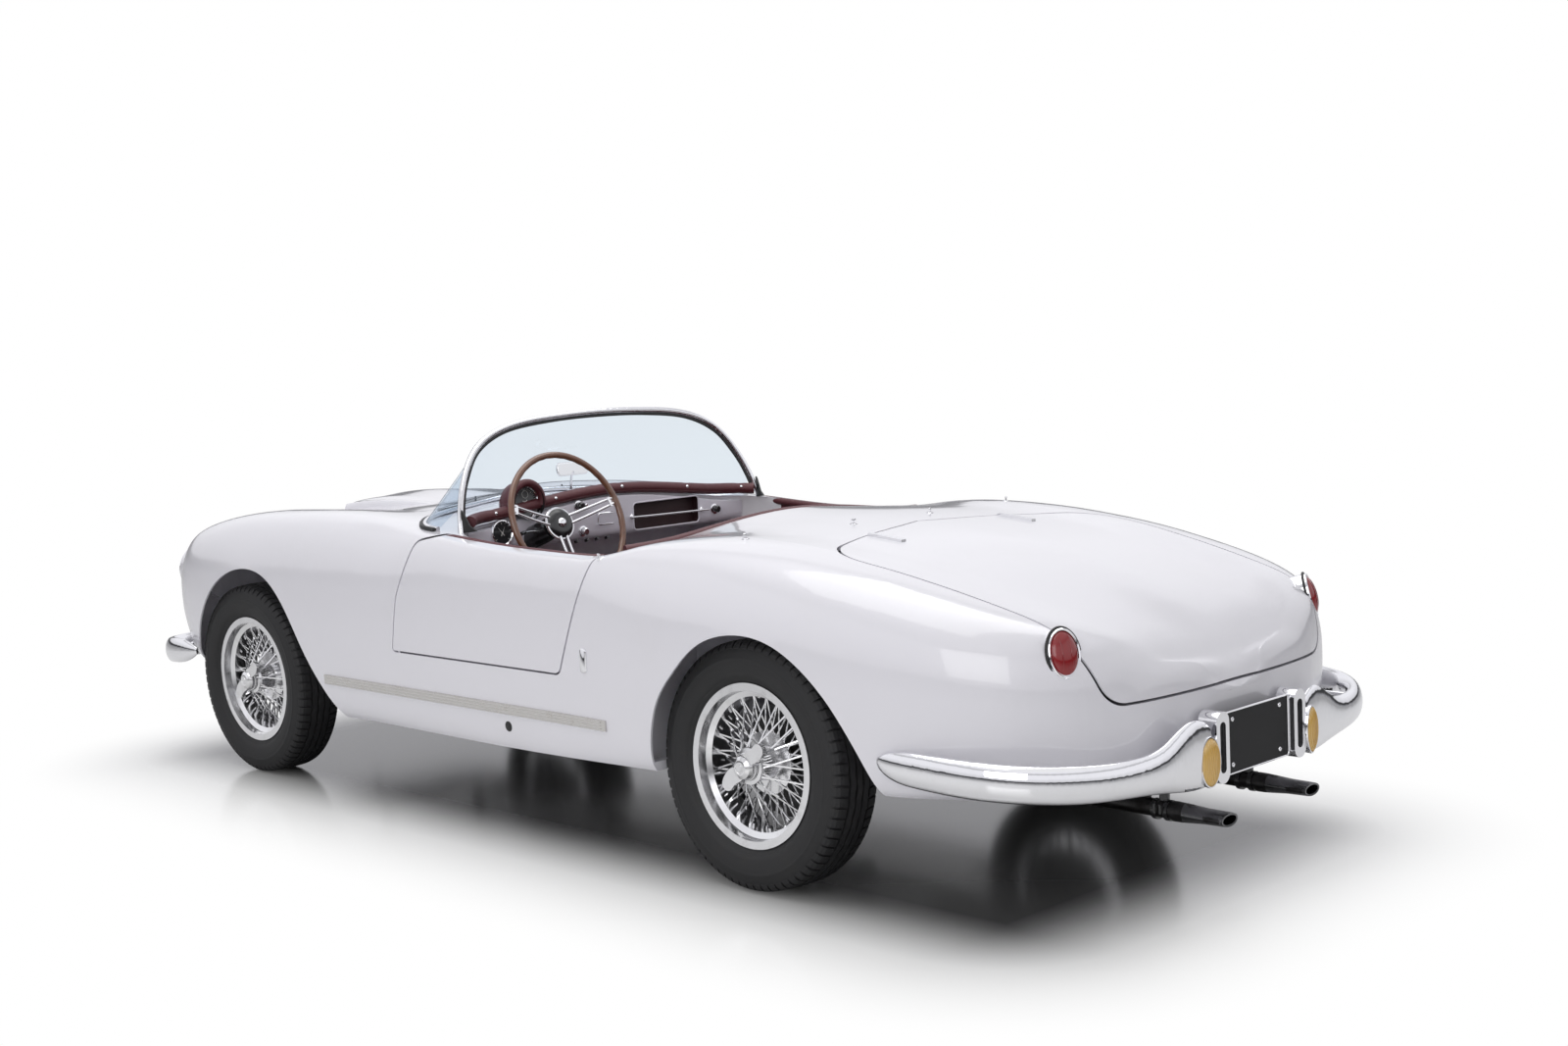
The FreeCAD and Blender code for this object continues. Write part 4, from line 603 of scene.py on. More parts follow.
def addDashPanel():
    face, low, loops = dash["face"], dash["low"], []
    for k in range(81):
        x = dash["halfWidth"] * (k / 40 - 1)
        back = dashBack(x)
        top = onPanel(("dashboard",), (x, (back + face) / 2, 1.2), down)[0].z
        section = [(back, top), (face - 0.004, top), (face - 0.0008, top - 0.002), (face, top - 0.006),
                   (face, low + 0.027), (face - 0.0012, low + 0.018), (face - 0.005, low + 0.010),
                   (face - 0.0105, low + 0.0045), (face - 0.017, low + 0.0015), (back, low)]
        loops.append([(x, max(y, back), z) for y, z in section])
    panel = addPiece("dashPanel", [skin(loops)], "dash_paint")
    x, z = dash["pocketAt"]
    width, height = dash["pocketSize"]
    corner = dash["pocketCorner"]
    hole = roundRect(width, height, corner)
    cutBy(panel, placed(stack([(hole, 0), (hole, 0.06)]), (x, -0.294, z), towardsDriver))
    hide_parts("dashboard")
    inside = roundRect(width - 0.002, height - 0.002, corner - 0.001)
    verts, faces = skin([[(px, py, depth) for px, py in inside] for depth in (0.0, 0.0275)], caps=False)
    box = (verts, faces + [tuple(range(len(inside)))])
    # the lining's dark colour is painted shade inside the pocket
    addPiece("gloveboxLining", [placed(box, (x, -0.2935, z), towardsDriver)], "lining")
    edge = [(px, py, 0) for px, py in roundRect(width + 0.001, height + 0.001, corner)]
    lip = rod(edge, 0.0026, closed=True, side=(0, 0, 1))
    addPiece("gloveboxLip", [placed(lip, (x, face, z), towardsDriver)], "dash_paint")


def rollLine():
    endX, endY = dash["endAt"]
    places = []
    for degrees in (-40, -50, -60, -70, -80, -88):
        t = math.radians(degrees)
        places.append((endX + dash["endRadius"] * math.cos(t), endY + dash["endRadius"] * math.sin(t)))
    places += [(x, dash["rollY"]) for x in (0.43, 0.37, 0.30, 0.22, 0.15, 0.08, 0.0)]
    places += [(-x, y) for x, y in reversed(places[:-1])]
    points = []
    for x, y in places:
        top = onPanel(("dash_roll",), (x * 0.997, y, 1.3), down)[0].z
        points.append((x, y, top - dash["rollRadius"]))
    return curve(points, 6)


def addRoll():
    # padded roll, pulled in a little at each stud
    line, studs, radius = rollLine(), dash["studsAt"], dash["rollRadius"]
    sizes = []
    for p in line:
        pull = max(0.0, 1 - min(abs(p.x - s) for s in studs) / 0.016)
        sizes.append(1.0 - 0.07 * pull + 0.012 * noise.noise(Vector((p.x * 30, 0.3, 1.7))))
    section = [(a, b * (0.93 if b < 0 else 1.0)) for a, b in circle(radius, 24)]
    roll = addPiece("dashRoll", [sweep(line, section, side=(0, 0, 1), sizes=sizes)], "leather")
    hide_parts("dash_roll")
    dome = lathe([(0.0, 0.0042), (0.003, 0.0036), (0.0052, 0.0016), (0.0058, -0.001)], 16)
    out = Vector((0, 0.9, 0.36)).normalized()
    domes = []
    for s in studs:
        nearest = min(line, key=lambda p: abs(p.x - s))
        domes.append(placed(dome, nearest + out * radius * 0.92, out))
    addPiece("rollStuds", domes, "chrome")
    seam = [p + Vector((0, 0.0168, -0.0082)) * (1 if abs(p.x) < 0.47 else 0.9) for p in line[3:-3]]
    addPiece("rollSeam", [rod(seam, 0.0012, 6)], "leather")


pod = {"at": (0.346, -0.262, 0.924), "arch": 0.060, "roll": 0.0125, "dial": 0.050, "tilt": (0, 1, 0.12),
       "from": -14, "to": 194, "steps": 26,
       "shell": ((0.004, 0.006, 0), (0.03, 0.008, 0.001), (0.06, 0.004, 0.004), (0.085, -0.012, 0.009),
                 (0.098, -0.034, 0.014)),
       "innerDials": ((-0.021, -0.017), (0.021, -0.017), (0.0, 0.024))}


def archPoints(radius, y, drop):
    x, _, z = pod["at"]
    points = []
    for k in range(pod["steps"] + 1):
        a = math.radians(pod["from"] + (pod["to"] - pod["from"]) * k / pod["steps"])
        points.append(Vector((x + radius * math.cos(a), y, z - drop + radius * math.sin(a))))
    return points


def addPod():
    arch, y = pod["arch"], pod["at"][1]
    hood = addPiece("podRoll", [rod(archPoints(arch, y - 0.006, 0), pod["roll"], 16)], "leather")
    rings = [archPoints(arch + wider, y - depth, drop) for depth, wider, drop in pod["shell"]]
    n, last = len(rings[0]), len(rings) - 1
    verts = [tuple(p) for ring in rings for p in ring]
    faces = [(r * n + i, r * n + i + 1, (r + 1) * n + i + 1, (r + 1) * n + i) for r in range(last)
             for i in range(n - 1)]
    faces.append(tuple(range(last * n, (last + 1) * n)))
    addPiece("podShell", [(verts, faces)], "leather")
    inner = lathe([(arch - 0.004, 0.012), (arch - 0.006, -0.022), (pod["dial"] - 0.004, -0.024)], 40)
    addPiece("podInside", [placed(inner, pod["at"], pod["tilt"])], "black")


gauge = {"from": -40, "sweep": 260, "bold": 5, "edge": 0.86, "longMark": (0.16, 0.0007),
         "shortMark": (0.09, 0.0004), "needleTail": 0.01, "needleHalf": 0.0016,
         "ring": ((0.0005, -0.004), (0.003, 0.001), (0.0022, 0.005), (-0.001, 0.0062), (-0.004, 0.0035),
                  (-0.0045, 0.0))}


def gaugeMark(radius, turn, bold):
    length, half = gauge["longMark" if bold else "shortMark"]
    r0, r1 = radius * (gauge["edge"] - length), radius * gauge["edge"]
    c, s = math.cos(turn), math.sin(turn)
    corners = [(r0 * c - s * half, r0 * s + c * half), (r1 * c - s * half, r1 * s + c * half),
               (r1 * c + s * half, r1 * s - c * half), (r0 * c + s * half, r0 * s - c * half)]
    return stack([(corners, 0.0012), (corners, 0.0016)])


def needle(length, turn):
    c, s = math.cos(turn), math.sin(turn)
    half, past = gauge["needleHalf"], gauge["needleTail"]
    outline = [(length * c, length * s), (-half * s - past * c, half * c - past * s),
               (half * s - past * c, -half * c - past * s)]
    return stack([(outline, 0.0024), (outline, 0.0030)])


def addGauge(name, at, radius, ticks, needles, axis):
    ring = [(radius + wider, rise) for wider, rise in gauge["ring"]]
    face = [(0.0, 0.0003), (radius * 0.6, 0.0003), (radius - 0.004, 0.0010)]
    addPiece(name + "Ring", [placed(lathe(ring, 40), at, axis)], "chrome")
    addPiece(name + "Face", [placed(lathe(face, 40), at, axis)], "gaugeFace")
    marks = []
    for k in range(ticks):
        turn = math.radians(gauge["from"] + gauge["sweep"] * k / (ticks - 1))
        marks.append(gaugeMark(radius, turn, k % gauge["bold"] == 0))
    for length, degrees in needles:
        marks.append(needle(length, math.radians(degrees)))
        marks.append(lathe([(0.0, 0.0042), (0.003, 0.004), (0.0036, 0.0022)], 12))
    addPiece(name + "Marks", placedAll(marks, at, axis), "gaugeMarks")


def addGauges():
    x, y, z = pod["at"]
    addGauge("bigGauge", (x, y - 0.016, z), pod["dial"], 31, [(0.036, 215), (0.027, -20)], pod["tilt"])
    ring = lathe([(0.0115, 0.0), (0.0121, 0.0012), (0.0110, 0.0016)], 24)
    for letter, (dx, dz) in zip("ABC", pod["innerDials"]):
        at = (x + dx, y - 0.0135, z + dz)
        addPiece("innerDial" + letter, [placed(ring, at, pod["tilt"])], "gaugeMarks")
    addGauge("smallGauge", (0.450, dash["face"] + 0.001, 0.838), 0.0385, 11, [(0.026, 130), (0.024, 60)],
             (0, 1, 0.06))


def knob(radius, height):
    profile = ((0.0, 1.0), (0.7, 1.0), (0.96, 0.86), (1.0, 0.6), (0.86, 0.4), (0.5, 0.34), (0.5, 0.0))
    return lathe([(radius * wide, height * high) for wide, high in profile], 20)


def addControls():
    face = dash["face"]
    lightKnob, wiperKnob, chokeKnob = (0.144, face, 0.893), (-0.445, face, 0.829), (0.130, face, 0.811)
    addPiece("knobs", [placed(knob(0.0135, 0.024), lightKnob, towardsDriver),
                       placed(knob(0.012, 0.022), wiperKnob, towardsDriver)], "black")
    bright = [placed(knob(0.0125, 0.020), chokeKnob, towardsDriver),
              placed(knob(0.006, 0.012), (0.118, face, 0.893), towardsDriver)]
    washer = lathe([(0.017, 0.0), (0.0175, 0.0012), (0.015, 0.0024), (0.010, 0.0026)], 24)
    bright += [placed(washer, at, towardsDriver) for at in (lightKnob, chokeKnob, wiperKnob)]
    collar = lathe([(0.008, 0.0), (0.008, 0.002), (0.0055, 0.005), (0.003, 0.006)], 16)
    (x0, z0), (x1, z1) = dash["railFrom"], dash["railTo"]
    bright += [placed(collar, (x, face, z), towardsDriver) for x, z in ((x0, z0), (x1, z1))]
    rail = [(x0, face - 0.001, z0), (x0, face + 0.014, z0), (x0 - 0.006, face + 0.021, z0),
            (x1 + 0.006, face + 0.021, z1), (x1, face + 0.014, z1), (x1, face - 0.001, z1)]
    bright.append(rod(curve(rail, 4), 0.0034, 10))
    (near, high), (far, low) = dash["handleFrom"], dash["handleTo"]
    bend = far - 0.006
    handle = [(near, high), (bend, high), (far, high - 0.006), (far, low + 0.006), (bend, low), (near, low)]
    bright.append(rod([(x, face + 0.012, z) for x, z in handle], 0.0024))
    bright += [rod([(bend, face - 0.001, z), (bend, face + 0.012, z)], 0.0024) for z in (high, low)]
    addPiece("dashBrightwork", bright, "chrome")
    key = slab(0.010, 0.016, 0.002, 0.008)
    row = [(0.150 - 0.042 * k, face - 0.012, dash["low"] + 0.0005) for k in range(4)]
    addPiece("underDashSwitches", [placed(key, at, (0, 0.35, -1)) for at in row], "black")


# Steering wheel: wooden rim with finger grips, three pairs of bright bars, black dished centre

steering = {"centre": (0.33, -0.0868, 0.8767), "hub": (0.33, -0.130, 0.861), "tilt": 20, "rim": 0.206,
            "grip": 0.0105, "grips": 36, "gripDepth": 0.0011, "steps": 216, "spokesAt": (12, 165, 268),
            "barRadius": 0.0043,
            "dish": -0.046}
steeringTilt = math.radians(steering["tilt"])
steeringAxis = Vector((0, math.cos(steeringTilt), math.sin(steeringTilt)))


def woodenRim():
    loops = []
    for k in range(steering["steps"]):
        a = 2 * math.pi * k / steering["steps"]
        hollow = steering["gripDepth"] * (0.5 - 0.5 * math.cos(a * steering["grips"]))
        loop = []
        for i in range(16):
            b = 2 * math.pi * i / 16
            inner = max(0.0, -math.cos(b)) * 0.7 + max(0.0, -math.sin(b)) * 0.5
            r = steering["grip"] - hollow * min(1.0, inner)
            out = steering["rim"] + r * math.cos(b)
            loop.append((out * math.cos(a), out * math.sin(a), r * 0.94 * math.sin(b)))
        loops.append(loop)
    return skin(loops, closed=True)


def spoke(degrees):
    # a pair of bars and the plate that holds their ends in the rim
    rim, dish, a = steering["rim"], steering["dish"], math.radians(degrees)
    c, s = math.cos(a), math.sin(a)
    parts = []
    for side in (-1, 1):
        line = [(r * c - side * gap * s, r * s + side * gap * c, depth) for r, depth, gap in
                ((0.030, dish + 0.003, 0.0125), (0.10, dish * 0.66, 0.0115), (0.17, dish * 0.22, 0.0100),
                 (rim - 0.006, -0.001, 0.0085))]
        parts.append(sweep(curve(line, 5), circle(steering["barRadius"], 10, 0.8), side=(0, 0, 1)))
    end = [(px + rim - 0.016, py) for px, py in roundRect(0.020, 0.030, 0.005)]
    turned = [(px * c - py * s, px * s + py * c) for px, py in end]
    return parts + [stack([(turned, -0.0042), (turned, -0.0018)])]


def addSteeringWheel():
    body = next(joint["child"] for joint in frame["joints"] if joint["name"] == "steering_wheel_turn")
    centre, hub, axis = steering["centre"], steering["hub"], steeringAxis
    wheel = addPiece("steeringRim", [placed(woodenRim(), centre, axis)], "wood", body, sharp=60)
    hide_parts("steering_wheel")
    bars = [part for degrees in steering["spokesAt"] for part in placedAll(spoke(degrees), centre, axis)]
    ring = lathe([(0.0520, -0.004), (0.0530, 0.0), (0.0510, 0.003), (0.0465, 0.0040)], 40)
    cap = lathe([(0.0, 0.0215), (0.007, 0.0210), (0.012, 0.0190), (0.0145, 0.0160), (0.0150, 0.0130)], 28)
    addPiece("steeringBars", bars + placedAll([ring, cap], hub, axis), "chrome", body)
    boss = lathe([(0.0152, 0.0130), (0.024, 0.0145), (0.036, 0.0120), (0.0450, 0.0070), (0.0480, 0.0020),
                  (0.0490, -0.008), (0.030, -0.014), (0.026, -0.030), (0.014, -0.032)], 40)
    addPiece("steeringCentre", [placed(boss, hub, axis)], "black", body)


def addColumnTrim():
    hub, axis = Vector(steering["hub"]), -steeringAxis
    shroud = lathe([(0.020, 0.040), (0.031, 0.041), (0.0345, 0.050), (0.0365, 0.145), (0.033, 0.158),
                    (0.0202, 0.160)], 32)
    start = hub + axis * 0.07
    stalk = curve([start + Vector(step) for step in
                   ((0.03, 0, 0), (0.065, 0.004, 0.003), (0.105, 0.022, 0.004), (0.125, 0.034, 0.003))], 5)
    addPiece("columnShroud", [placed(shroud, hub, axis), rod(stalk[-7:], 0.0062, 10)], "black")
    addPiece("columnStalk", [rod(stalk[:-6], 0.0032, 10)], "chrome")


addDashPanel()
addRoll()
addPod()
addGauges()
addControls()
addSteeringWheel()
addColumnTrim()
print("dash and steering done")

# Seats: cushion and back blown up from slightly small forms by cloth simulation, then pleated and piped

seat = {"middle": 0.3485, "halfWidth": 0.221, "depth": 0.384, "voxel": 0.0065, "pressure": 4.0, "frames": 20,
        "cap": 0.011, "pleat": 0.047, "pleatDepth": 0.0065, "panelHalf": 0.150, "lean": 13.4,
        "foot": (0.006, 0.392), "backFoot": (0.372, 0.425), "backHeight": 0.425, "backCorner": 0.10,
        "welt": 0.0036,
        "cushionLayers": ((0.018, -0.055), (0.006, -0.050), (0.002, -0.020), (0.0, 0.020), (0.006, 0.046),
                          (0.022, 0.058)),
        "backLayers": ((0.022, -0.044), (0.008, -0.036), (0.0, -0.012), (0.004, 0.014), (0.022, 0.032))}


def ease(value, low, high):
    t = min(1.0, max(0.0, (value - low) / (high - low)))
    return t * t * (3 - 2 * t)


def puffUp(obj, heldBelow):
    fromModifier(obj, "REMESH", mode="VOXEL", voxel_size=seat["voxel"])
    rest = [v.co.copy() for v in obj.data.vertices]
    group = obj.vertex_groups.new(name="held")
    group.add([i for i, co in enumerate(rest) if co.z < heldBelow], 1.0, "REPLACE")
    cloth = obj.modifiers.new("cloth", "CLOTH")
    cloth.settings.use_pressure = True
    cloth.settings.uniform_pressure_force = seat["pressure"]
    cloth.settings.effector_weights.gravity = 0
    cloth.settings.vertex_group_mass = "held"
    for step in range(1, seat["frames"] + 1):
        bpy.context.scene.frame_set(step)
    keepShape(obj)
    bpy.context.scene.frame_set(1)
    for vert, co in zip(obj.data.vertices, rest):
        moved = vert.co - co
        if moved.length > seat["cap"]:
            vert.co = co + moved * (seat["cap"] / moved.length)
    obj.vertex_groups.clear()
    fromModifier(obj, "SUBSURF", levels=1, subdivision_type="CATMULL_CLARK")


def pleat(mesh, panelMask):
    # flutes between sewn channels, sunk below the bolsters beside them
    normals = [v.normal.copy() for v in mesh.vertices]
    for vert, normal in zip(mesh.vertices, normals):
        mask = ease(seat["panelHalf"] - abs(vert.co.x), -0.004, 0.008) * panelMask(vert.co, normal)
        if mask > 0:
            flute = abs(math.cos(math.pi * vert.co.x / seat["pleat"])) ** 0.45
            vert.co -= normal * mask * ((1 - flute) * seat["pleatDepth"] + 0.0015)


def cushionMask(co, normal):
    return ease(normal.z, 0.55, 0.8) * ease(co.y, 0.030, 0.055)


def backMask(co, normal):
    return ease(normal.z, 0.5, 0.8) * ease(seat["backHeight"] - 0.075 - co.y, 0, 0.02)


def cushionOutline(shrink):
    width, depth = 2 * (seat["halfWidth"] - shrink), seat["depth"] - 2 * shrink
    return [(x, y + seat["depth"] / 2) for x, y in roundRect(width, depth, 0.055 - shrink * 0.5, 9)]


def backOutline(shrink):
    w, corner = seat["halfWidth"], seat["backCorner"]
    rise = seat["backHeight"] - corner
    points = [(-w + shrink, shrink)]
    points += [(-w + shrink + 0.006 * k / 8, shrink + (rise - shrink) * k / 8) for k in range(1, 9)]
    for degrees in range(10, 91, 10):
        a = math.radians(degrees)
        points.append((-w + 0.105 - (0.099 - shrink) * math.cos(a), rise + (corner - shrink) * math.sin(a)))
    return points + [(-x, y) for x, y in reversed(points)]


def seatPad(name, outlineOf, layers, heldBelow, panelMask, welts, matrix):
    form = stack([(outlineOf(shrink), height) for shrink, height in layers])
    obj = addToScene(name, meshOf(name, *form))
    puffUp(obj, heldBelow)
    mesh = obj.data
    pleat(mesh, panelMask)
    tree = BVHTree.FromPolygons([v.co for v in mesh.vertices], [p.vertices for p in mesh.polygons])
    piping = []
    for welt in welts:
        piping.append(rod([tree.find_nearest(Vector(p))[0] for p in welt], seat["welt"], closed=True))
    pad = [turnedBy(part, matrix) for part in (partOf(mesh), joinMeshes(piping))]
    bpy.data.objects.remove(obj)
    return pad


def addSeats():
    edge = [(x * 1.02, y, 0.052) for x, y in cushionOutline(0.004)]
    cushion = seatPad("cushion", cushionOutline, seat["cushionLayers"], -0.045, cushionMask, [edge],
                      Matrix.Translation((0, *seat["foot"])))
    welts = [[(x, y, 0.026) for x, y in backOutline(0.008)], [(x, y, -0.040) for x, y in backOutline(0.010)]]
    c, s = math.cos(math.radians(seat["lean"])), math.sin(math.radians(seat["lean"]))
    lean = Matrix(((1, 0, 0), (0, s, -c), (0, c, s))).to_4x4()
    back = seatPad("back", backOutline, seat["backLayers"], -0.036, backMask, welts,
                   Matrix.Translation((0, *seat["backFoot"])) @ lean)
    for side, label in ((1, "left"), (-1, "right")):
        shift = (side * seat["middle"], 0, 0)
        for pad, kind in ((cushion, "seatCushion"), (back, "seatBack")):
            obj = addPiece(kind + "_" + label, [placed(pad[0], shift)], "leather", sharp=80)
            if pad is cushion:
                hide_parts("seat_" + label)
            addPiece(kind + "Welt_" + label, [placed(pad[1], shift)], "welt", sharp=80)


seatFrame = {"rail": [(-0.012, 0.0), (0.012, 0.0), (0.012, 0.022), (0.009, 0.022), (0.009, 0.003),
                      (-0.009, 0.003), (-0.009, 0.022), (-0.012, 0.022)],
             "pan": ((0.03, 0.346), (0.045, 0.338), (0.36, 0.336), (0.38, 0.346), (0.36, 0.342),
                     (0.045, 0.344)),
             "hinge": ((0.355, 0.36), (0.385, 0.42), (0.405, 0.50)), "railHalf": 0.15, "panHalf": 0.19,
             "hingeHalf": 0.205}


def addSeatFrames():
    parts = []
    for middle in (seat["middle"], -seat["middle"]):
        for x in (middle - seatFrame["railHalf"], middle + seatFrame["railHalf"]):
            parts.append(sweep([(x, 0.03, 0.292), (x, 0.42, 0.292)], seatFrame["rail"], side=(0, 0, 1)))
            parts += [placed(slab(0.034, 0.05, 0.004, 0.030, 0.002), (x, y, 0.312)) for y in (0.06, 0.34)]
        edges = (middle - seatFrame["panHalf"], middle + seatFrame["panHalf"])
        parts.append(skin([[(x, y, z) for y, z in seatFrame["pan"]] for x in edges]))
        for s in (-1, 1):
            strap = [(middle + s * seatFrame["hingeHalf"], y, z) for y, z in seatFrame["hinge"]]
            parts.append(sweep(strap, roundRect(0.026, 0.005, 0.002, 2), side=(1, 0, 0)))
    addPiece("seatFrames", parts, "black")


addSeats()
addSeatFrames()
print("seats done")

# Screen: black rubber inside the hoop and along the foot, corner gussets, mirror and wipers

screen = {"hoop": [(0.629, 0.832), (0.606, 0.935), (0.569, 1.018), (0.500, 1.103), (0.378, 1.158),
                   (0.198, 1.180), (0, 1.186)],
          "foot": [(0, -0.640), (0.230, -0.622), (0.430, -0.565), (0.565, -0.485), (0.636, -0.395),
                   (0.646, -0.320)],
          "postSteps": ((0, -0.002), (0.002, 0.02), (0.006, 0.045), (0.012, 0.064)),
          "slope": 0.285, "hoopAt": (-0.228, 0.846),
          "footSection": [(-0.008, -0.004), (0.008, -0.004), (0.007, 0.001), (0.001, 0.0055),
                          (-0.006, 0.0045)],
          "gusset": [(0, 0), (0.055, 0.006), (0.030, 0.022), (0.008, 0.062), (0, 0.070)]}


def hoopRubber():
    y0, z0 = screen["hoopAt"]
    half = [Vector((x, y0 - screen["slope"] * (z - z0), z)) for x, z in screen["hoop"]]
    line = curve(half + [Vector((-p.x, p.y, p.z)) for p in reversed(half[:-1])], 8)
    plane = Vector((0, 1, screen["slope"])).normalized()
    inner = []
    for i, p in enumerate(line):
        along = (line[min(i + 1, len(line) - 1)] - line[max(i - 1, 0)]).normalized()
        inward = along.cross(plane).normalized()
        if inward.dot(Vector((0, p.y, 0.95)) - p) < 0:
            inward = -inward
        inner.append(p + inward * 0.0125 - plane * 0.003)
    return sweep(inner[5:-5], roundRect(0.011, 0.008, 0.003, 3), side=tuple(plane))


def footRubber():
    foot = [(x, y, onDeck(x, y - 0.012)[0].z) for x, y in screen["foot"]]
    path = []
    for p in curve(foot[::-1] + [(-x, y, z) for x, y, z in foot[1:]], 8):
        ahead = Vector((p.x * 0.35, -1.0, 0)) if abs(p.x) < 0.6 else Vector((math.copysign(1, p.x), -0.4, 0))
        path.append(p + ahead.normalized() * 0.011 + Vector((0, 0, 0.004)))
    return sweep(path, screen["footSection"], side=(0, 0, 1))


def addScreenTrim():
    addPiece("screenRubber", [hoopRubber(), footRubber()], "rubber")
    plate = stack([(screen["gusset"], -0.003), (screen["gusset"], 0.003)])
    addPiece("screenGussets", bothSides(placed(plate, (0.618, -0.235, 0.856), (0.95, 0.3, 0.0))), "rubber")


def addMirror():
    foot, normal = onDeck(0.0, -0.478)
    post = curve([foot + Vector((0, y, z)) for y, z in screen["postSteps"]], 5)
    sizes = [1.6 - 0.6 * min(1.0, i / 6) for i in range(len(post))]
    base = lathe([(0.0, 0.009), (0.008, 0.008), (0.014, 0.004), (0.017, 0.0), (0.017, -0.002)], 24)
    ball = lathe([(0.0, 0.008), (0.005, 0.0062), (0.0078, 0.0), (0.005, -0.0062), (0.0, -0.008)], 16)
    head = foot + Vector((0, 0.014, 0.078))
    back = stack([(roundRect(0.128, 0.044, 0.012), 0.0), (roundRect(0.130, 0.046, 0.013), 0.0022),
                  (roundRect(0.122, 0.038, 0.012), 0.0085), (roundRect(0.085, 0.016, 0.007), 0.014)])
    stand = [rod(post, 0.0036, 12, sizes=sizes), placed(base, foot, normal), placed(ball, post[-1])]
    addPiece("mirrorStand", stand + [placed(back, head, (0, -1, -0.16))], "chrome")
    glass = slab(0.122, 0.038, 0.010, 0.001, 0.0004)
    addPiece("mirrorFace", [placed(glass, head + Vector((0, 0.0002, 0)), (0, 1, 0.16))], "mirror")


wiper = {"pivotY": -0.712, "arms": ((0.215, (0.455, -0.588), (0.085, -0.668)),
                                    (-0.165, (0.075, -0.672), (-0.300, -0.640))),
         "above": 0.016, "steps": 12,
         "blade": [(-0.0032, 0.004), (0.0032, 0.004), (0.0026, 0.0005), (0.0008, -0.0035), (-0.0008, -0.0035),
                   (-0.0026, 0.0005)]}


def addWipers():
    arms, blades = [], []
    boss = lathe([(0.0, 0.020), (0.006, 0.019), (0.0095, 0.014), (0.0105, 0.004), (0.0150, 0.002),
                  (0.0155, -0.002)], 24)
    for pivotX, start, end in wiper["arms"]:
        pivot, normal = onDeck(pivotX, wiper["pivotY"])
        arms.append(placed(boss, pivot, normal))
        a, b = (onDeck(*place)[0] + Vector((0, 0, wiper["above"])) for place in (start, end))
        middle = (a + b) / 2 + Vector((0, -0.010, 0.012))
        bent = pivot * 0.6 + middle * 0.4 + Vector((0, 0, 0.012))
        arm = curve([pivot + Vector((0, 0, 0.014)), bent, middle], 8)
        sizes = [1.5 - 0.8 * i / (len(arm) - 1) for i in range(len(arm))]
        arms.append(sweep(arm, roundRect(0.0075, 0.0035, 0.0012, 2), side=(0, 0, 1), sizes=sizes))
        line = [a.lerp(b, k / wiper["steps"]) for k in range(wiper["steps"] + 1)]
        rises = [0.006 * math.sin(math.pi * k / wiper["steps"]) for k in range(wiper["steps"] + 1)]
        spine = [p + Vector((0, -0.002, rise)) for p, rise in zip(line, rises)]
        arms.append(sweep(spine, roundRect(0.0045, 0.0022, 0.0008, 2), side=(0, 0, 1)))
        blades.append(sweep([p + Vector((0, 0, -0.006)) for p in line], wiper["blade"], side=(0, 0, 1)))
    addPiece("wiperArms", arms, "black")
    addPiece("wiperBlades", blades, "rubber")


addScreenTrim()
addMirror()
addWipers()
print("screen done")

# Doors: sewn lines, padded pocket and top roll, pull strap and handle

doorCard = {"face": 0.6535, "corner": 0.03, "frontRear": 0.03, "bottom": 0.02, "top": 0.03,
            "pocketHigh": 0.15, "seamGap": 0.02, "pullHalf": 0.075, "pullDown": 0.054,
            "leverAt": (0.09, -0.10), "rollX": 0.6625, "rollRadius": 0.0125}


def trimOutline(inset, low, high, front, rear):
    r = doorCard["corner"]
    points = []
    for cy, cz, start in ((rear, high, 0), (front, high, 90), (front, low, 180), (rear, low, 270)):
        sy, sz = (-1 if cy == rear else 1), (-1 if cz == high else 1)
        for k in range(6):
            a = math.radians(start + 90 * k / 5)
            points.append((cy + sy * (inset + r) + r * math.cos(a), cz + sz * (inset + r) + r * math.sin(a)))
    return points


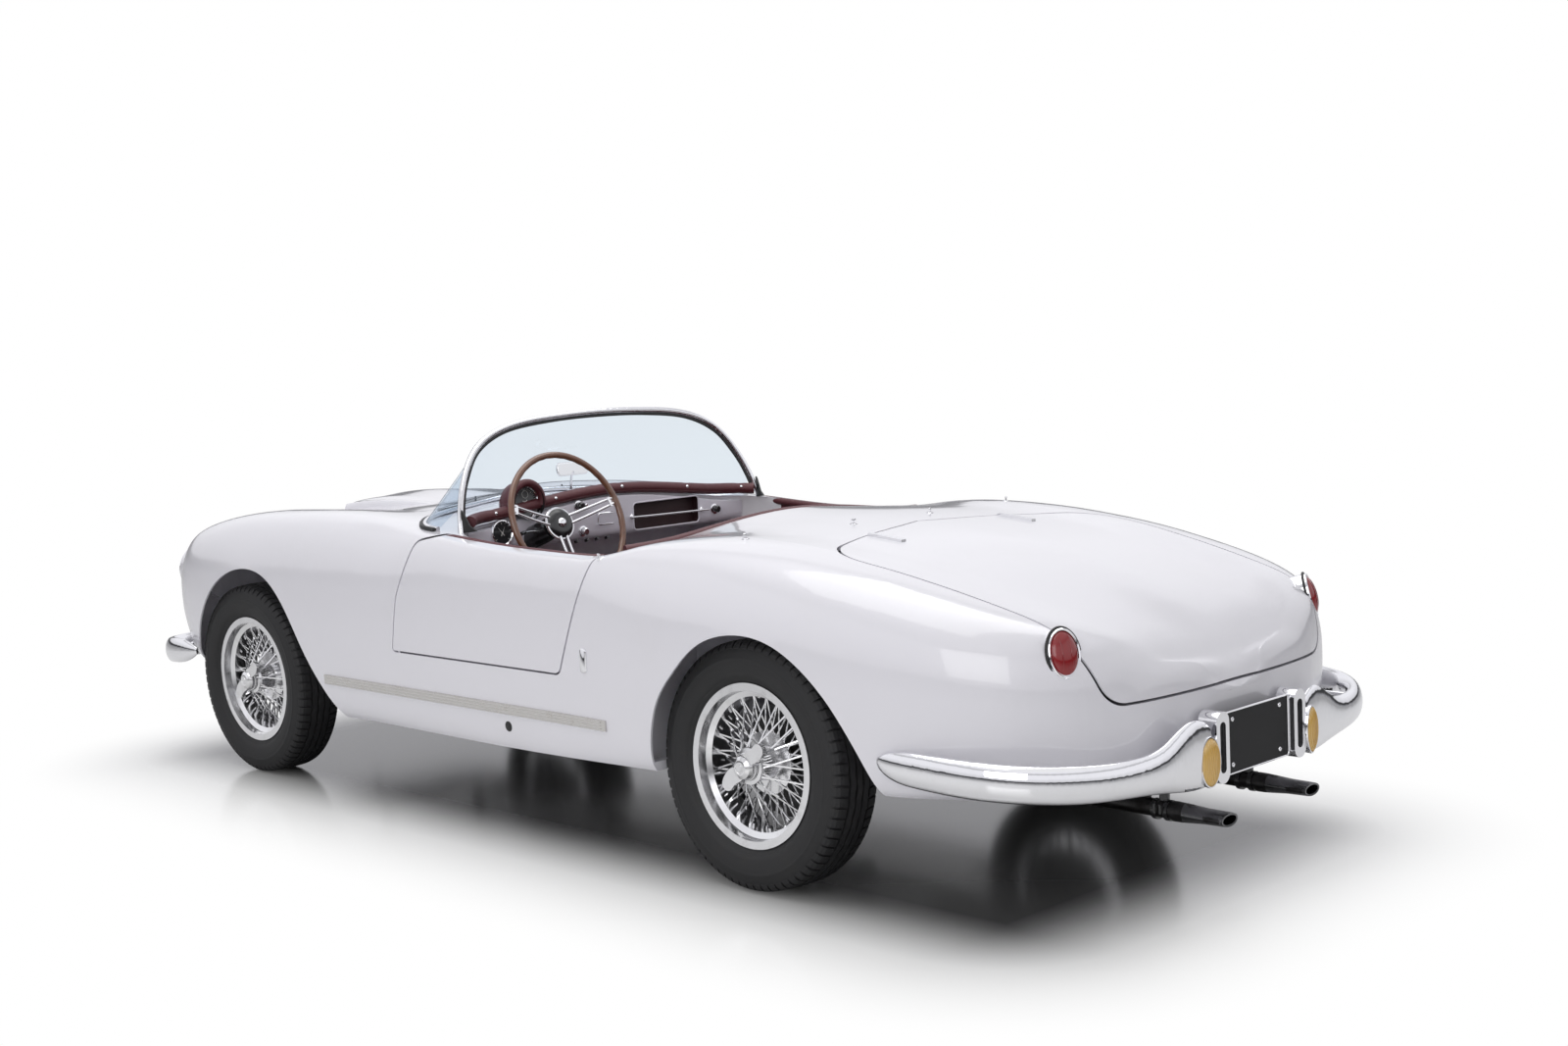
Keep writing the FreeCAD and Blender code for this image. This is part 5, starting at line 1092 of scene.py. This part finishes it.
def addDoorTrim(side, label):
    body, face = "door_" + label, doorCard["face"] * side
    low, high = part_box("door_trim_" + label)
    front, rear = low[1] + doorCard["frontRear"], high[1] - doorCard["frontRear"]
    bottom, top = low[2] + doorCard["bottom"], high[2] - doorCard["top"]
    pocketTop = bottom + doorCard["pocketHigh"]
    seams = []
    for zLow, zHigh in ((pocketTop + doorCard["seamGap"], top), (bottom, pocketTop)):
        line = [(face, y, z) for y, z in trimOutline(0.0, zLow, zHigh, front, rear)]
        seams.append(rod(line, 0.0022, 6, closed=True, side=(1, 0, 0)))
    addPiece("doorSeams_" + label, seams, "welt", body)
    outline = trimOutline(0.03, bottom, pocketTop, front, rear)
    middle, waist = (front + rear) / 2, bottom + 0.075
    crown = [(y * 0.97 + middle * 0.03, z * 0.94 + waist * 0.06) for y, z in outline]
    fill = stack([(outline, 0.0), (outline, 0.006), (crown, 0.011)])
    panel = [(face - side * (z - 0.002), x, y) for x, y, z in fill[0]], fill[1]
    addPiece("doorPocket_" + label, [panel], "leather", body)
    half, strapZ = doorCard["pullHalf"], top - doorCard["pullDown"]
    pull = curve([(face + side * dx, middle + dy, strapZ + dz) for dx, dy, dz in
                  ((0.002, -half, -0.001), (-0.014, -0.06, 0), (-0.019, 0, 0.001), (-0.014, 0.06, 0),
                   (0.002, half, -0.001))], 5)
    strap = sweep(pull, roundRect(0.022, 0.005, 0.002, 2), side=(1, 0, 0))
    addPiece("doorPull_" + label, [strap], "leather", body)
    leverY, leverZ = front + doorCard["leverAt"][0], top + doorCard["leverAt"][1]
    lever = curve([(face + side * dx, leverY + dy, leverZ + dz) for dx, dy, dz in
                   ((0.001, 0, 0), (-0.020, 0, 0), (-0.026, 0.015, 0), (-0.027, 0.075, -0.004))], 5)
    rose = lathe([(0.017, 0.0), (0.0175, 0.002), (0.014, 0.005), (0.007, 0.007)], 24)
    cap = slab(0.030, 0.014, 0.004, 0.004)
    bright = [rod(lever, 0.0042, 10), placed(rose, (face, leverY, leverZ), (-side, 0, 0))]
    bright += [placed(cap, (face, middle + end, strapZ), (-side, 0, 0)) for end in (-half, half)]
    addPiece("doorFurniture_" + label, bright, "chrome", body)


def addDoorRoll(side, label):
    low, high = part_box("door_trim_" + label)
    line = []
    for k in range(31):
        y = low[1] + 0.02 + (high[1] - low[1] - 0.04) * k / 30
        place, _ = onPanel(("door_trim_" + label,), (side * doorCard["rollX"], y, 1.3), down)
        line.append(place + Vector((-side * 0.008, 0, -0.004)))
    roll = rod(line, doorCard["rollRadius"], 14, side=(0, 0, 1))
    addPiece("doorRoll_" + label, [roll], "leather", "door_" + label)


for addDoorPiece in (addDoorTrim, addDoorRoll):
    addDoorPiece(1, "left")
    addDoorPiece(-1, "right")
print("doors done")

# Cockpit: coaming piping, tonneau pegs, pedals, lever, hand brake and floor mats

cabin = {"pegsAt": [(0.712, 0.521), (-0.712, 0.521), (0.544, 0.915), (-0.544, 0.915), (0.16, 0.945),
                    (-0.16, 0.945)],
         "pedals": ((0.445, 0.052), (0.345, 0.052), (0.245, 0.034)), "pedalTilt": (0, 0.93, 0.36),
         "treads": 5,
         "gaiterAt": (0, -0.150, 0.4415), "knobAt": (0, -0.110, 0.632), "brakeX": 0.055,
         "matAt": (0.345, -0.30, 0.2925), "matRibs": 14}


def addCoaming():
    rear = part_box("rear_coaming")[1][1] - 0.017
    line = []
    for k in range(49):
        x = -0.59 + 1.18 * k / 48
        top = onPanel(("rear_coaming",), (x, rear - 0.038 * (abs(x) / 0.61) ** 6, 1.3), down)[0]
        line.append(top + Vector((0, -0.0125, -0.006)))
    addPiece("coamingPiping", [rod(line, 0.0026, side=(0, 0, 1))], "welt")


def addPegs():
    plate = lathe([(0.0, 0.0026), (0.0085, 0.0024), (0.0105, 0.0012), (0.0108, -0.001)], 20)
    post = lathe([(0.0, 0.0155), (0.0022, 0.0148), (0.0030, 0.0125), (0.0024, 0.0075), (0.0026, 0.0020)], 14)
    wing = stack([(roundRect(0.0125, 0.0034, 0.0012, 2), 0.0100),
                  (roundRect(0.0130, 0.0038, 0.0014, 2), 0.0125),
                  (roundRect(0.0110, 0.0030, 0.0012, 2), 0.0150)])
    pegs = [part for x, y in cabin["pegsAt"] for part in placedAll([plate, post, wing], *onDeck(x, y))]
    addPiece("tonneauPegs", pegs, "chrome")


def addPedals():
    pads, arms = [], []
    for x, width in cabin["pedals"]:
        tread = Vector((x, -0.575, 0.385))
        end = tread + Vector((0, -0.006, 0))
        arm = curve([(x, -0.66, 0.60), (x, -0.625, 0.50), (x, -0.60, 0.42), end], 5)
        arms.append(sweep(arm, roundRect(0.012, 0.006, 0.0015, 2), side=(0, -1, 0)))
        pads.append(placed(slab(width, 0.058, 0.006, 0.010, 0.002), tread, cabin["pedalTilt"]))
        bar = slab(width * 0.82, 0.0035, 0.001, 0.0022, 0.0008)
        for k in range(cabin["treads"]):
            step = Vector((0, 0.0095 - 0.0036 * (k - 2) * 1.1, 0.0036 + 0.0098 * (k - 2)))
            pads.append(placed(bar, tread + step, cabin["pedalTilt"]))
    addPiece("pedalArms", arms, "black")
    addPiece("pedalPads", pads, "rubber")


def addLever():
    folds = [(0.066, 0.0), (0.066, 0.003)]
    for k in range(4):
        r, h = 0.058 - 0.0125 * k, 0.013 * k
        folds += [(r, 0.006 + h), (r - 0.002, 0.012 + h), (r - 0.0085, 0.015 + h)]
    folds += [(0.0085, 0.060), (0.0068, 0.072)]
    addPiece("leverGaiter", [placed(lathe(folds, 36), cabin["gaiterAt"], (0, 0.06, 1))], "rubber")
    ball = lathe([(0.0, 0.0205), (0.010, 0.0185), (0.0175, 0.010), (0.0205, -0.001), (0.0170, -0.0125),
                  (0.0095, -0.0205), (0.0075, -0.026), (0.0, -0.027)], 28)
    addPiece("leverKnob", [placed(ball, cabin["knobAt"], (0, 0.2, 1))], "wood")


def addHandbrake():
    x = cabin["brakeX"]
    arm = curve([(x, 0.20, 0.452), (x, 0.12, 0.475), (x, 0.02, 0.530), (x, -0.03, 0.560)], 8)
    foot = placed(slab(0.05, 0.09, 0.01, 0.012, 0.002), (x, 0.20, 0.4415))
    bar = sweep(arm, roundRect(0.011, 0.017, 0.004, 3), side=(0, 0, 1))
    addPiece("handbrake", [bar, foot], "chrome")
    grip = curve([(x, 0.02, 0.530), (x, -0.03, 0.560), (x, -0.075, 0.588)], 8)
    sizes = [1.0 + 0.08 * math.cos(i * 1.7) for i in range(len(grip))]
    addPiece("handbrakeGrip", [rod(grip, 0.0125, 16, sizes=sizes)], "rubber")


def addFloorMats():
    x, y, z = cabin["matAt"]
    outline, top = roundRect(0.40, 0.50, 0.05, 6), roundRect(0.394, 0.494, 0.047, 6)
    mat = stack([(outline, 0.0), (outline, 0.004), (top, 0.006)])
    bar = slab(0.30, 0.006, 0.0028, 0.0022, 0.0008)
    parts = []
    for middle in (x, -x):
        parts.append(placed(mat, (middle, y, z)))
        parts += [placed(bar, (middle, y + (k - 6.5) * 0.03, z + 0.0058)) for k in range(cabin["matRibs"])]
    addPiece("floorMats", parts, "rubber")


addCoaming()
addPegs()
addPedals()
addLever()
addHandbrake()
addFloorMats()
print("cabin done")

# Tail: lamps with their seals, amber lamps, plate lamp windows, plate frame, pipe clamps and tips

tail = {"lamp": (0.536, 1.933, 0.657), "lampTurn": 24, "lampRise": 0.26,
        "lampRib": (0.012, 0.045, 0.0172, 0.036), "amber": (0.226, 2.112, 0.371), "amberAxis": (0.18, 1, 0),
        "amberSize": (0.0298, 0.0568), "amberRib": 0.006,
        "plateWindow": (0.172, 2.1032, 0.396), "plate": (0.0, 2.098, 0.396), "plateSize": (0.286, 0.150),
        "screws": (0.105, 0.055), "pipeTip": (0.186, 2.136, 0.229), "pipeRadius": 0.021}


def oval(halfWidth, halfHeight, count=48):
    turns = [2 * math.pi * k / count for k in range(count)]
    return [(halfWidth * math.cos(a), halfHeight * math.sin(a)) for a in turns]


def ovalRings(rings):
    # rings: (half width, half height, height above the seat)
    return skin([[(px, py, rise) for px, py in oval(w, h)] for w, h, rise in rings], caps=False)


def lensDome(w, h, rise, base, steps=7):
    rings = []
    for k in range(steps + 1):
        t = math.pi / 2 * k / steps
        size = math.cos(t) if k < steps else 0.0
        rings.append((w * size, h * size, base + rise * math.sin(t)))
    return ovalRings(rings)


def addTailLamps():
    turn = math.radians(tail["lampTurn"])
    at, axis = tail["lamp"], (math.sin(turn), math.cos(turn), tail["lampRise"])
    seal = rod([(px, py, 0.0) for px, py in oval(0.0435, 0.0615)], 0.0034, closed=True, side=(0, 0, 1))
    addPiece("tailLampGaskets", bothSides(placed(seal, at, axis)), "rubber")
    bezel = ovalRings([(0.0405, 0.0585, -0.060), (0.0415, 0.0595, 0.002), (0.0410, 0.0590, 0.007),
                       (0.0385, 0.0565, 0.0095), (0.0355, 0.0535, 0.0080), (0.0345, 0.0525, 0.0020)])
    rims = addPiece("tailLampRims", bothSides(placed(bezel, at, axis)), "chrome")
    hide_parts("tail_lamp_bezels")
    apart, half, rise, width = tail["lampRib"]
    glass = [lensDome(0.0348, 0.0528, 0.017, 0.003)]
    for dx in (-apart, apart):
        line = []
        for t in range(-6, 7):
            bulge = math.sqrt(max(0.02, 1 - (t / 6.6) ** 2 - (dx / width) ** 2))
            line.append((dx, half * t / 6, rise * bulge + 0.0032))
        glass.append(rod(line, 0.0014, 6))
    lenses = addPiece("tailLampGlass", bothSides(*placedAll(glass, at, axis)), "red_lens")
    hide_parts("tail_lamp_lenses")


def addAmberLamps():
    at, axis = tail["amber"], tail["amberAxis"]
    w, h = tail["amberSize"]
    ring = ovalRings([(0.0330, 0.0600, -0.012), (0.0345, 0.0615, 0.001), (0.0335, 0.0605, 0.0045),
                      (0.0305, 0.0575, 0.0050), (0.0295, 0.0565, 0.0010)])
    addPiece("amberRims", bothSides(placed(ring, at, axis)), "chrome")
    glass = [lensDome(w, h, 0.013, 0.002)]
    for k in range(-4, 5):
        x = k * tail["amberRib"]
        half = h * math.sqrt(1 - (x / w) ** 2) * 0.96
        line = []
        for t in range(-6, 7):
            y = half * t / 6
            line.append((x, y, 0.0022 + 0.0134 * math.sqrt(max(0.0, 1 - (x / w) ** 2 - (y / h) ** 2))))
        glass.append(rod(line, 0.0010, 6))
    lenses = addPiece("amberGlass", bothSides(*placedAll(glass, at, axis)), "amber_lens")
    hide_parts("reflectors")


def addPlate():
    window = stack([(roundRect(0.0235, 0.121, 0.0115, 6), 0.0), (roundRect(0.0225, 0.120, 0.011, 6), 0.0022)])
    addPiece("plateLampWindows", bothSides(placed(window, tail["plateWindow"], (0, 1, 0))), "plateBlack")
    x, y, z = tail["plate"]
    outline = roundRect(*tail["plateSize"], 0.008)
    bright = [rod([(px + x, y + 0.0012, pz + z) for px, pz in outline], 0.0024, closed=True, side=(0, 1, 0))]
    head = lathe([(0.0, 0.0024), (0.003, 0.0022), (0.0055, 0.0012), (0.0060, 0.0)], 18)
    slotOutline = roundRect(0.0086, 0.0012, 0.0003, 1)
    slot = stack([(slotOutline, 0.0016), (slotOutline, 0.0026)])
    across, upright = tail["screws"]
    for sx in (-across, across):
        for sz in (-upright, upright):
            bright += placedAll([head, slot], (x + sx, y, z + sz), (0, 1, 0))
    addPiece("plateFrame", bright, "chrome")


def addPipes():
    x, y, z = tail["pipeTip"]
    r = tail["pipeRadius"]
    clamps = [rod([(x, y + along - 0.006, z), (x, y + along + 0.006, z)], r * 1.22, 24, side=(0, 0, 1))
              for along in (-0.20, -0.165)]
    clamps.append(placed(slab(0.014, 0.024, 0.003, 0.05), (x, y - 0.18, z + 0.02)))
    for along in (-0.190, -0.174):
        clamps.append(rod([(x + 0.03, y + along, z + rise) for rise in (-0.004, 0.018)], 0.003, 6))
    addPiece("pipeClamps", bothSides(*clamps), "black")
    # flattened sleeve, its thick edge and its inside; each ring: width, height, place along the pipe
    rings = ((1.22, 1.12, -0.118), (1.50, 0.86, -0.06), (1.64, 0.78, -0.004), (1.60, 0.75, 0.001),
             (1.36, 0.52, 0.0), (1.30, 0.50, -0.07))
    loops = []
    for wide, high, along in rings:
        loops.append([(x + px, y + along, z + pz) for px, pz in oval(r * wide, r * high, 32)])
    addPiece("pipeTips", bothSides(skin(loops, caps=False)), "pipeTip")


addTailLamps()
addAmberLamps()
addPlate()
addPipes()
print("tail done")

# Nose and sides: headlamp bowls and bulbs, badge plinths, jack plugs and sill ribs

sides = {"headlamp": (0.548, -1.946, 0.655), "badge": (0.485, 0.552), "jack": (0.118, 0.329),
         "ribs": (-0.009, 0.0, 0.009), "ribPoints": 40}


def addHeadlamps():
    bowl = lathe([(0.078, 0.0), (0.072, -0.020), (0.056, -0.040), (0.034, -0.054), (0.016, -0.060),
                  (0.0, -0.061)], 40)
    bulb = lathe([(0.0, -0.016), (0.007, -0.019), (0.0095, -0.028), (0.006, -0.042), (0.0085, -0.046),
                  (0.0085, -0.058)], 16)
    addPiece("headlampBowls", bothSides(*placedAll([bowl, bulb], sides["headlamp"], (0, -1, 0))), "mirror")


def onFlank(names, side, y, z):
    return onPanel(names, (side * 2.0, y, z), (-side, 0, 0))


def addSides():
    plinth = stack([(roundRect(0.028, 0.066, 0.010), -0.002), (roundRect(0.028, 0.066, 0.010), 0.003),
                    (roundRect(0.022, 0.060, 0.008), 0.0052)])
    plug = lathe([(0.0, 0.0035), (0.011, 0.0030), (0.0150, 0.0010), (0.0155, -0.002)], 24)
    badges, plugs, ribs = [], [], []
    low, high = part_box("sill_strips")
    for side in (1, -1):
        badges.append(placed(plinth, onFlank(decks, side, *sides["badge"])[0], (side, 0, 0)))
        plugs.append(placed(plug, *onFlank(("floor_and_sills",), side, *sides["jack"])))
        for rise in sides["ribs"]:
            line = []
            for k in range(sides["ribPoints"]):
                y = low[1] + 0.02 + (high[1] - low[1] - 0.04) * k / (sides["ribPoints"] - 1)
                line.append(onFlank(("sill_strips",), side, y, (low[2] + high[2]) / 2 + rise)[0])
            ribs.append(rod(line, 0.0016, 6, side=(0, 0, 1)))
    addPiece("sideBadges", badges, "chrome")
    addPiece("jackPlugs", plugs, "rubber")
    addPiece("sillRibs", ribs, "bright_strip")


addHeadlamps()
addSides()
print("nose and sides done")

# Hubs: raised locking rings and spoke nipples on every wheel

hub = {"nipples": 36, "rimRadius": 0.1775, "rows": (-0.008, 0.012)}


def addHubs():
    ring = lathe([(0.0335, 0.0705), (0.0362, 0.0715), (0.0370, 0.0745), (0.0360, 0.0775),
                  (0.0335, 0.0785)], 40)
    cone = lathe([(0.0, 0.1012), (0.008, 0.1011), (0.0086, 0.1000), (0.0145, 0.0998), (0.0152, 0.1006),
                  (0.0190, 0.1000)], 32)
    nipple = lathe([(0.0, -0.011), (0.0030, -0.0105), (0.0034, -0.004), (0.0036, 0.002)], 6)
    parts = [([(h, y, x) for x, y, h in part[0]], part[1]) for part in (ring, cone)]
    for k in range(hub["nipples"]):
        a = 2 * math.pi * (k + 0.5) / hub["nipples"]
        out = Vector((0, math.sin(a), math.cos(a)))
        at = out * hub["rimRadius"] + Vector((hub["rows"][k % 2], 0, 0))
        parts.append(placed(nipple, at, out, (1, 0, 0)))
    for place, body, matrix in wheelPlaces():
        addPiece("hubDetail_" + place, [turnedBy(part, matrix) for part in parts], "wire_wheel", body)


addHubs()
print("hubs done")

# Floor with a painted shadow under the car, soft lights and white surroundings

stage = {"floor": 0.84, "floorHalf": 40.0, "paintedShadowUnderCar": 0.10, "floorRoughness": 0.16, "carHalf": (0.55, 1.75),
         "paintedShadowTo": 0.34, "whiteFrom": 0.04, "whiteTo": 0.78, "skyForLight": 0.50,
         "wall": [(0.03, 0.06), (0.075, 0.05), (0.10, 0.75), (0.30, 1.0), (0.52, 1.0), (0.60, 0.55),
                  (0.72, 1.0)],
         "overhead": ((0, 0, 5.2), (0, 0, 0), 7.0, 4.0, 150),
         "side": ((6.0, 3.0, 3.0), (0, 0, 0.6), 4.0, 3.0, 75)}


def outsideOf(tree):
    # distance on the floor from the car's footprint
    split = addNode(tree, "SeparateXYZ", {0: objectPlace(tree)})
    past = []
    for axis, half in zip("XY", stage["carHalf"]):
        beyond = calculate(tree, "SUBTRACT", calculate(tree, "ABSOLUTE", split.outputs[axis]), half)
        past.append(calculate(tree, "MAXIMUM", beyond, 0.0))
    both = addNode(tree, "CombineXYZ", {"X": past[0], "Y": past[1]})
    return addNode(tree, "VectorMath", {0: both}, operation="LENGTH").outputs["Value"]


def seenDirectly(tree):
    path = addNode(tree, "LightPath")
    direct = calculate(tree, "MAXIMUM", path.outputs["Is Camera Ray"], path.outputs["Is Transmission Ray"])
    return path, direct


def addFloor():
    half = stage["floorHalf"]
    corners = [(-half, -half, 0), (half, -half, 0), (half, half, 0), (-half, half, 0)]
    mesh = meshOf("floor", corners, [(0, 1, 2, 3)])
    mat, tree, bsdf = newTree("studio floor with painted shadow")
    away = outsideOf(tree)
    # the floor's colour darkens towards and under the car's footprint: painted shadow
    tone = remap(tree, away, 0.0, stage["paintedShadowTo"], stage["paintedShadowUnderCar"], stage["floor"])
    setInputs(tree, bsdf, {"Base Color": tone, "Roughness": stage["floorRoughness"]})
    white = addNode(tree, "Emission", {"Color": (1, 1, 1, 1), "Strength": 1.0})
    fade = remap(tree, away, stage["whiteFrom"], stage["whiteTo"], interpolation_type="SMOOTHSTEP")
    amount = calculate(tree, "MULTIPLY", fade, seenDirectly(tree)[1])
    setInputs(tree, tree.nodes["Material Output"],
              {"Surface": addNode(tree, "MixShader", {0: amount, 1: bsdf, 2: white})})
    mesh.materials.append(mat)
    addToScene("floor", mesh)


def addWorld():
    # white where it is seen, dimmer as light, and with a dark low wall for what bright metal mirrors
    world = bpy.data.worlds.new("studio")
    bpy.context.scene.world = world
    world.use_nodes = True
    tree = world.node_tree
    height = addNode(tree, "SeparateXYZ", {0: addNode(tree, "TexCoord").outputs["Generated"]})
    ramp = addNode(tree, "ValToRGB", {0: height.outputs["Z"]})
    stops = ramp.color_ramp.elements
    stops[0].position, stops[0].color = 0.0, (0.30, 0.30, 0.32, 1)
    stops[1].position, stops[1].color = 1.0, (1, 1, 1, 1)
    for at, grey in stage["wall"]:
        stops.new(at).color = (grey, grey, grey * 1.04, 1)
    path, seen = seenDirectly(tree)
    level = remap(tree, seen, 0.0, 1.0, stage["skyForLight"], 1.0)
    sky = mixColours(tree, path.outputs["Is Glossy Ray"], level, ramp)
    setInputs(tree, tree.nodes["Background"], {"Color": sky, "Strength": 1.0})


def addAreaLight(name):
    place, target, width, depth, watts = stage[name]
    data = bpy.data.lights.new(name, "AREA")
    data.shape = "RECTANGLE"
    data.size, data.size_y, data.energy = width, depth, watts
    obj = addToScene(name, data)
    obj.location = place
    obj.rotation_euler = (Vector(target) - Vector(place)).to_track_quat("-Z", "Y").to_euler()


addFloor()
addWorld()
addAreaLight("overhead")
addAreaLight("side")
print("stage set")
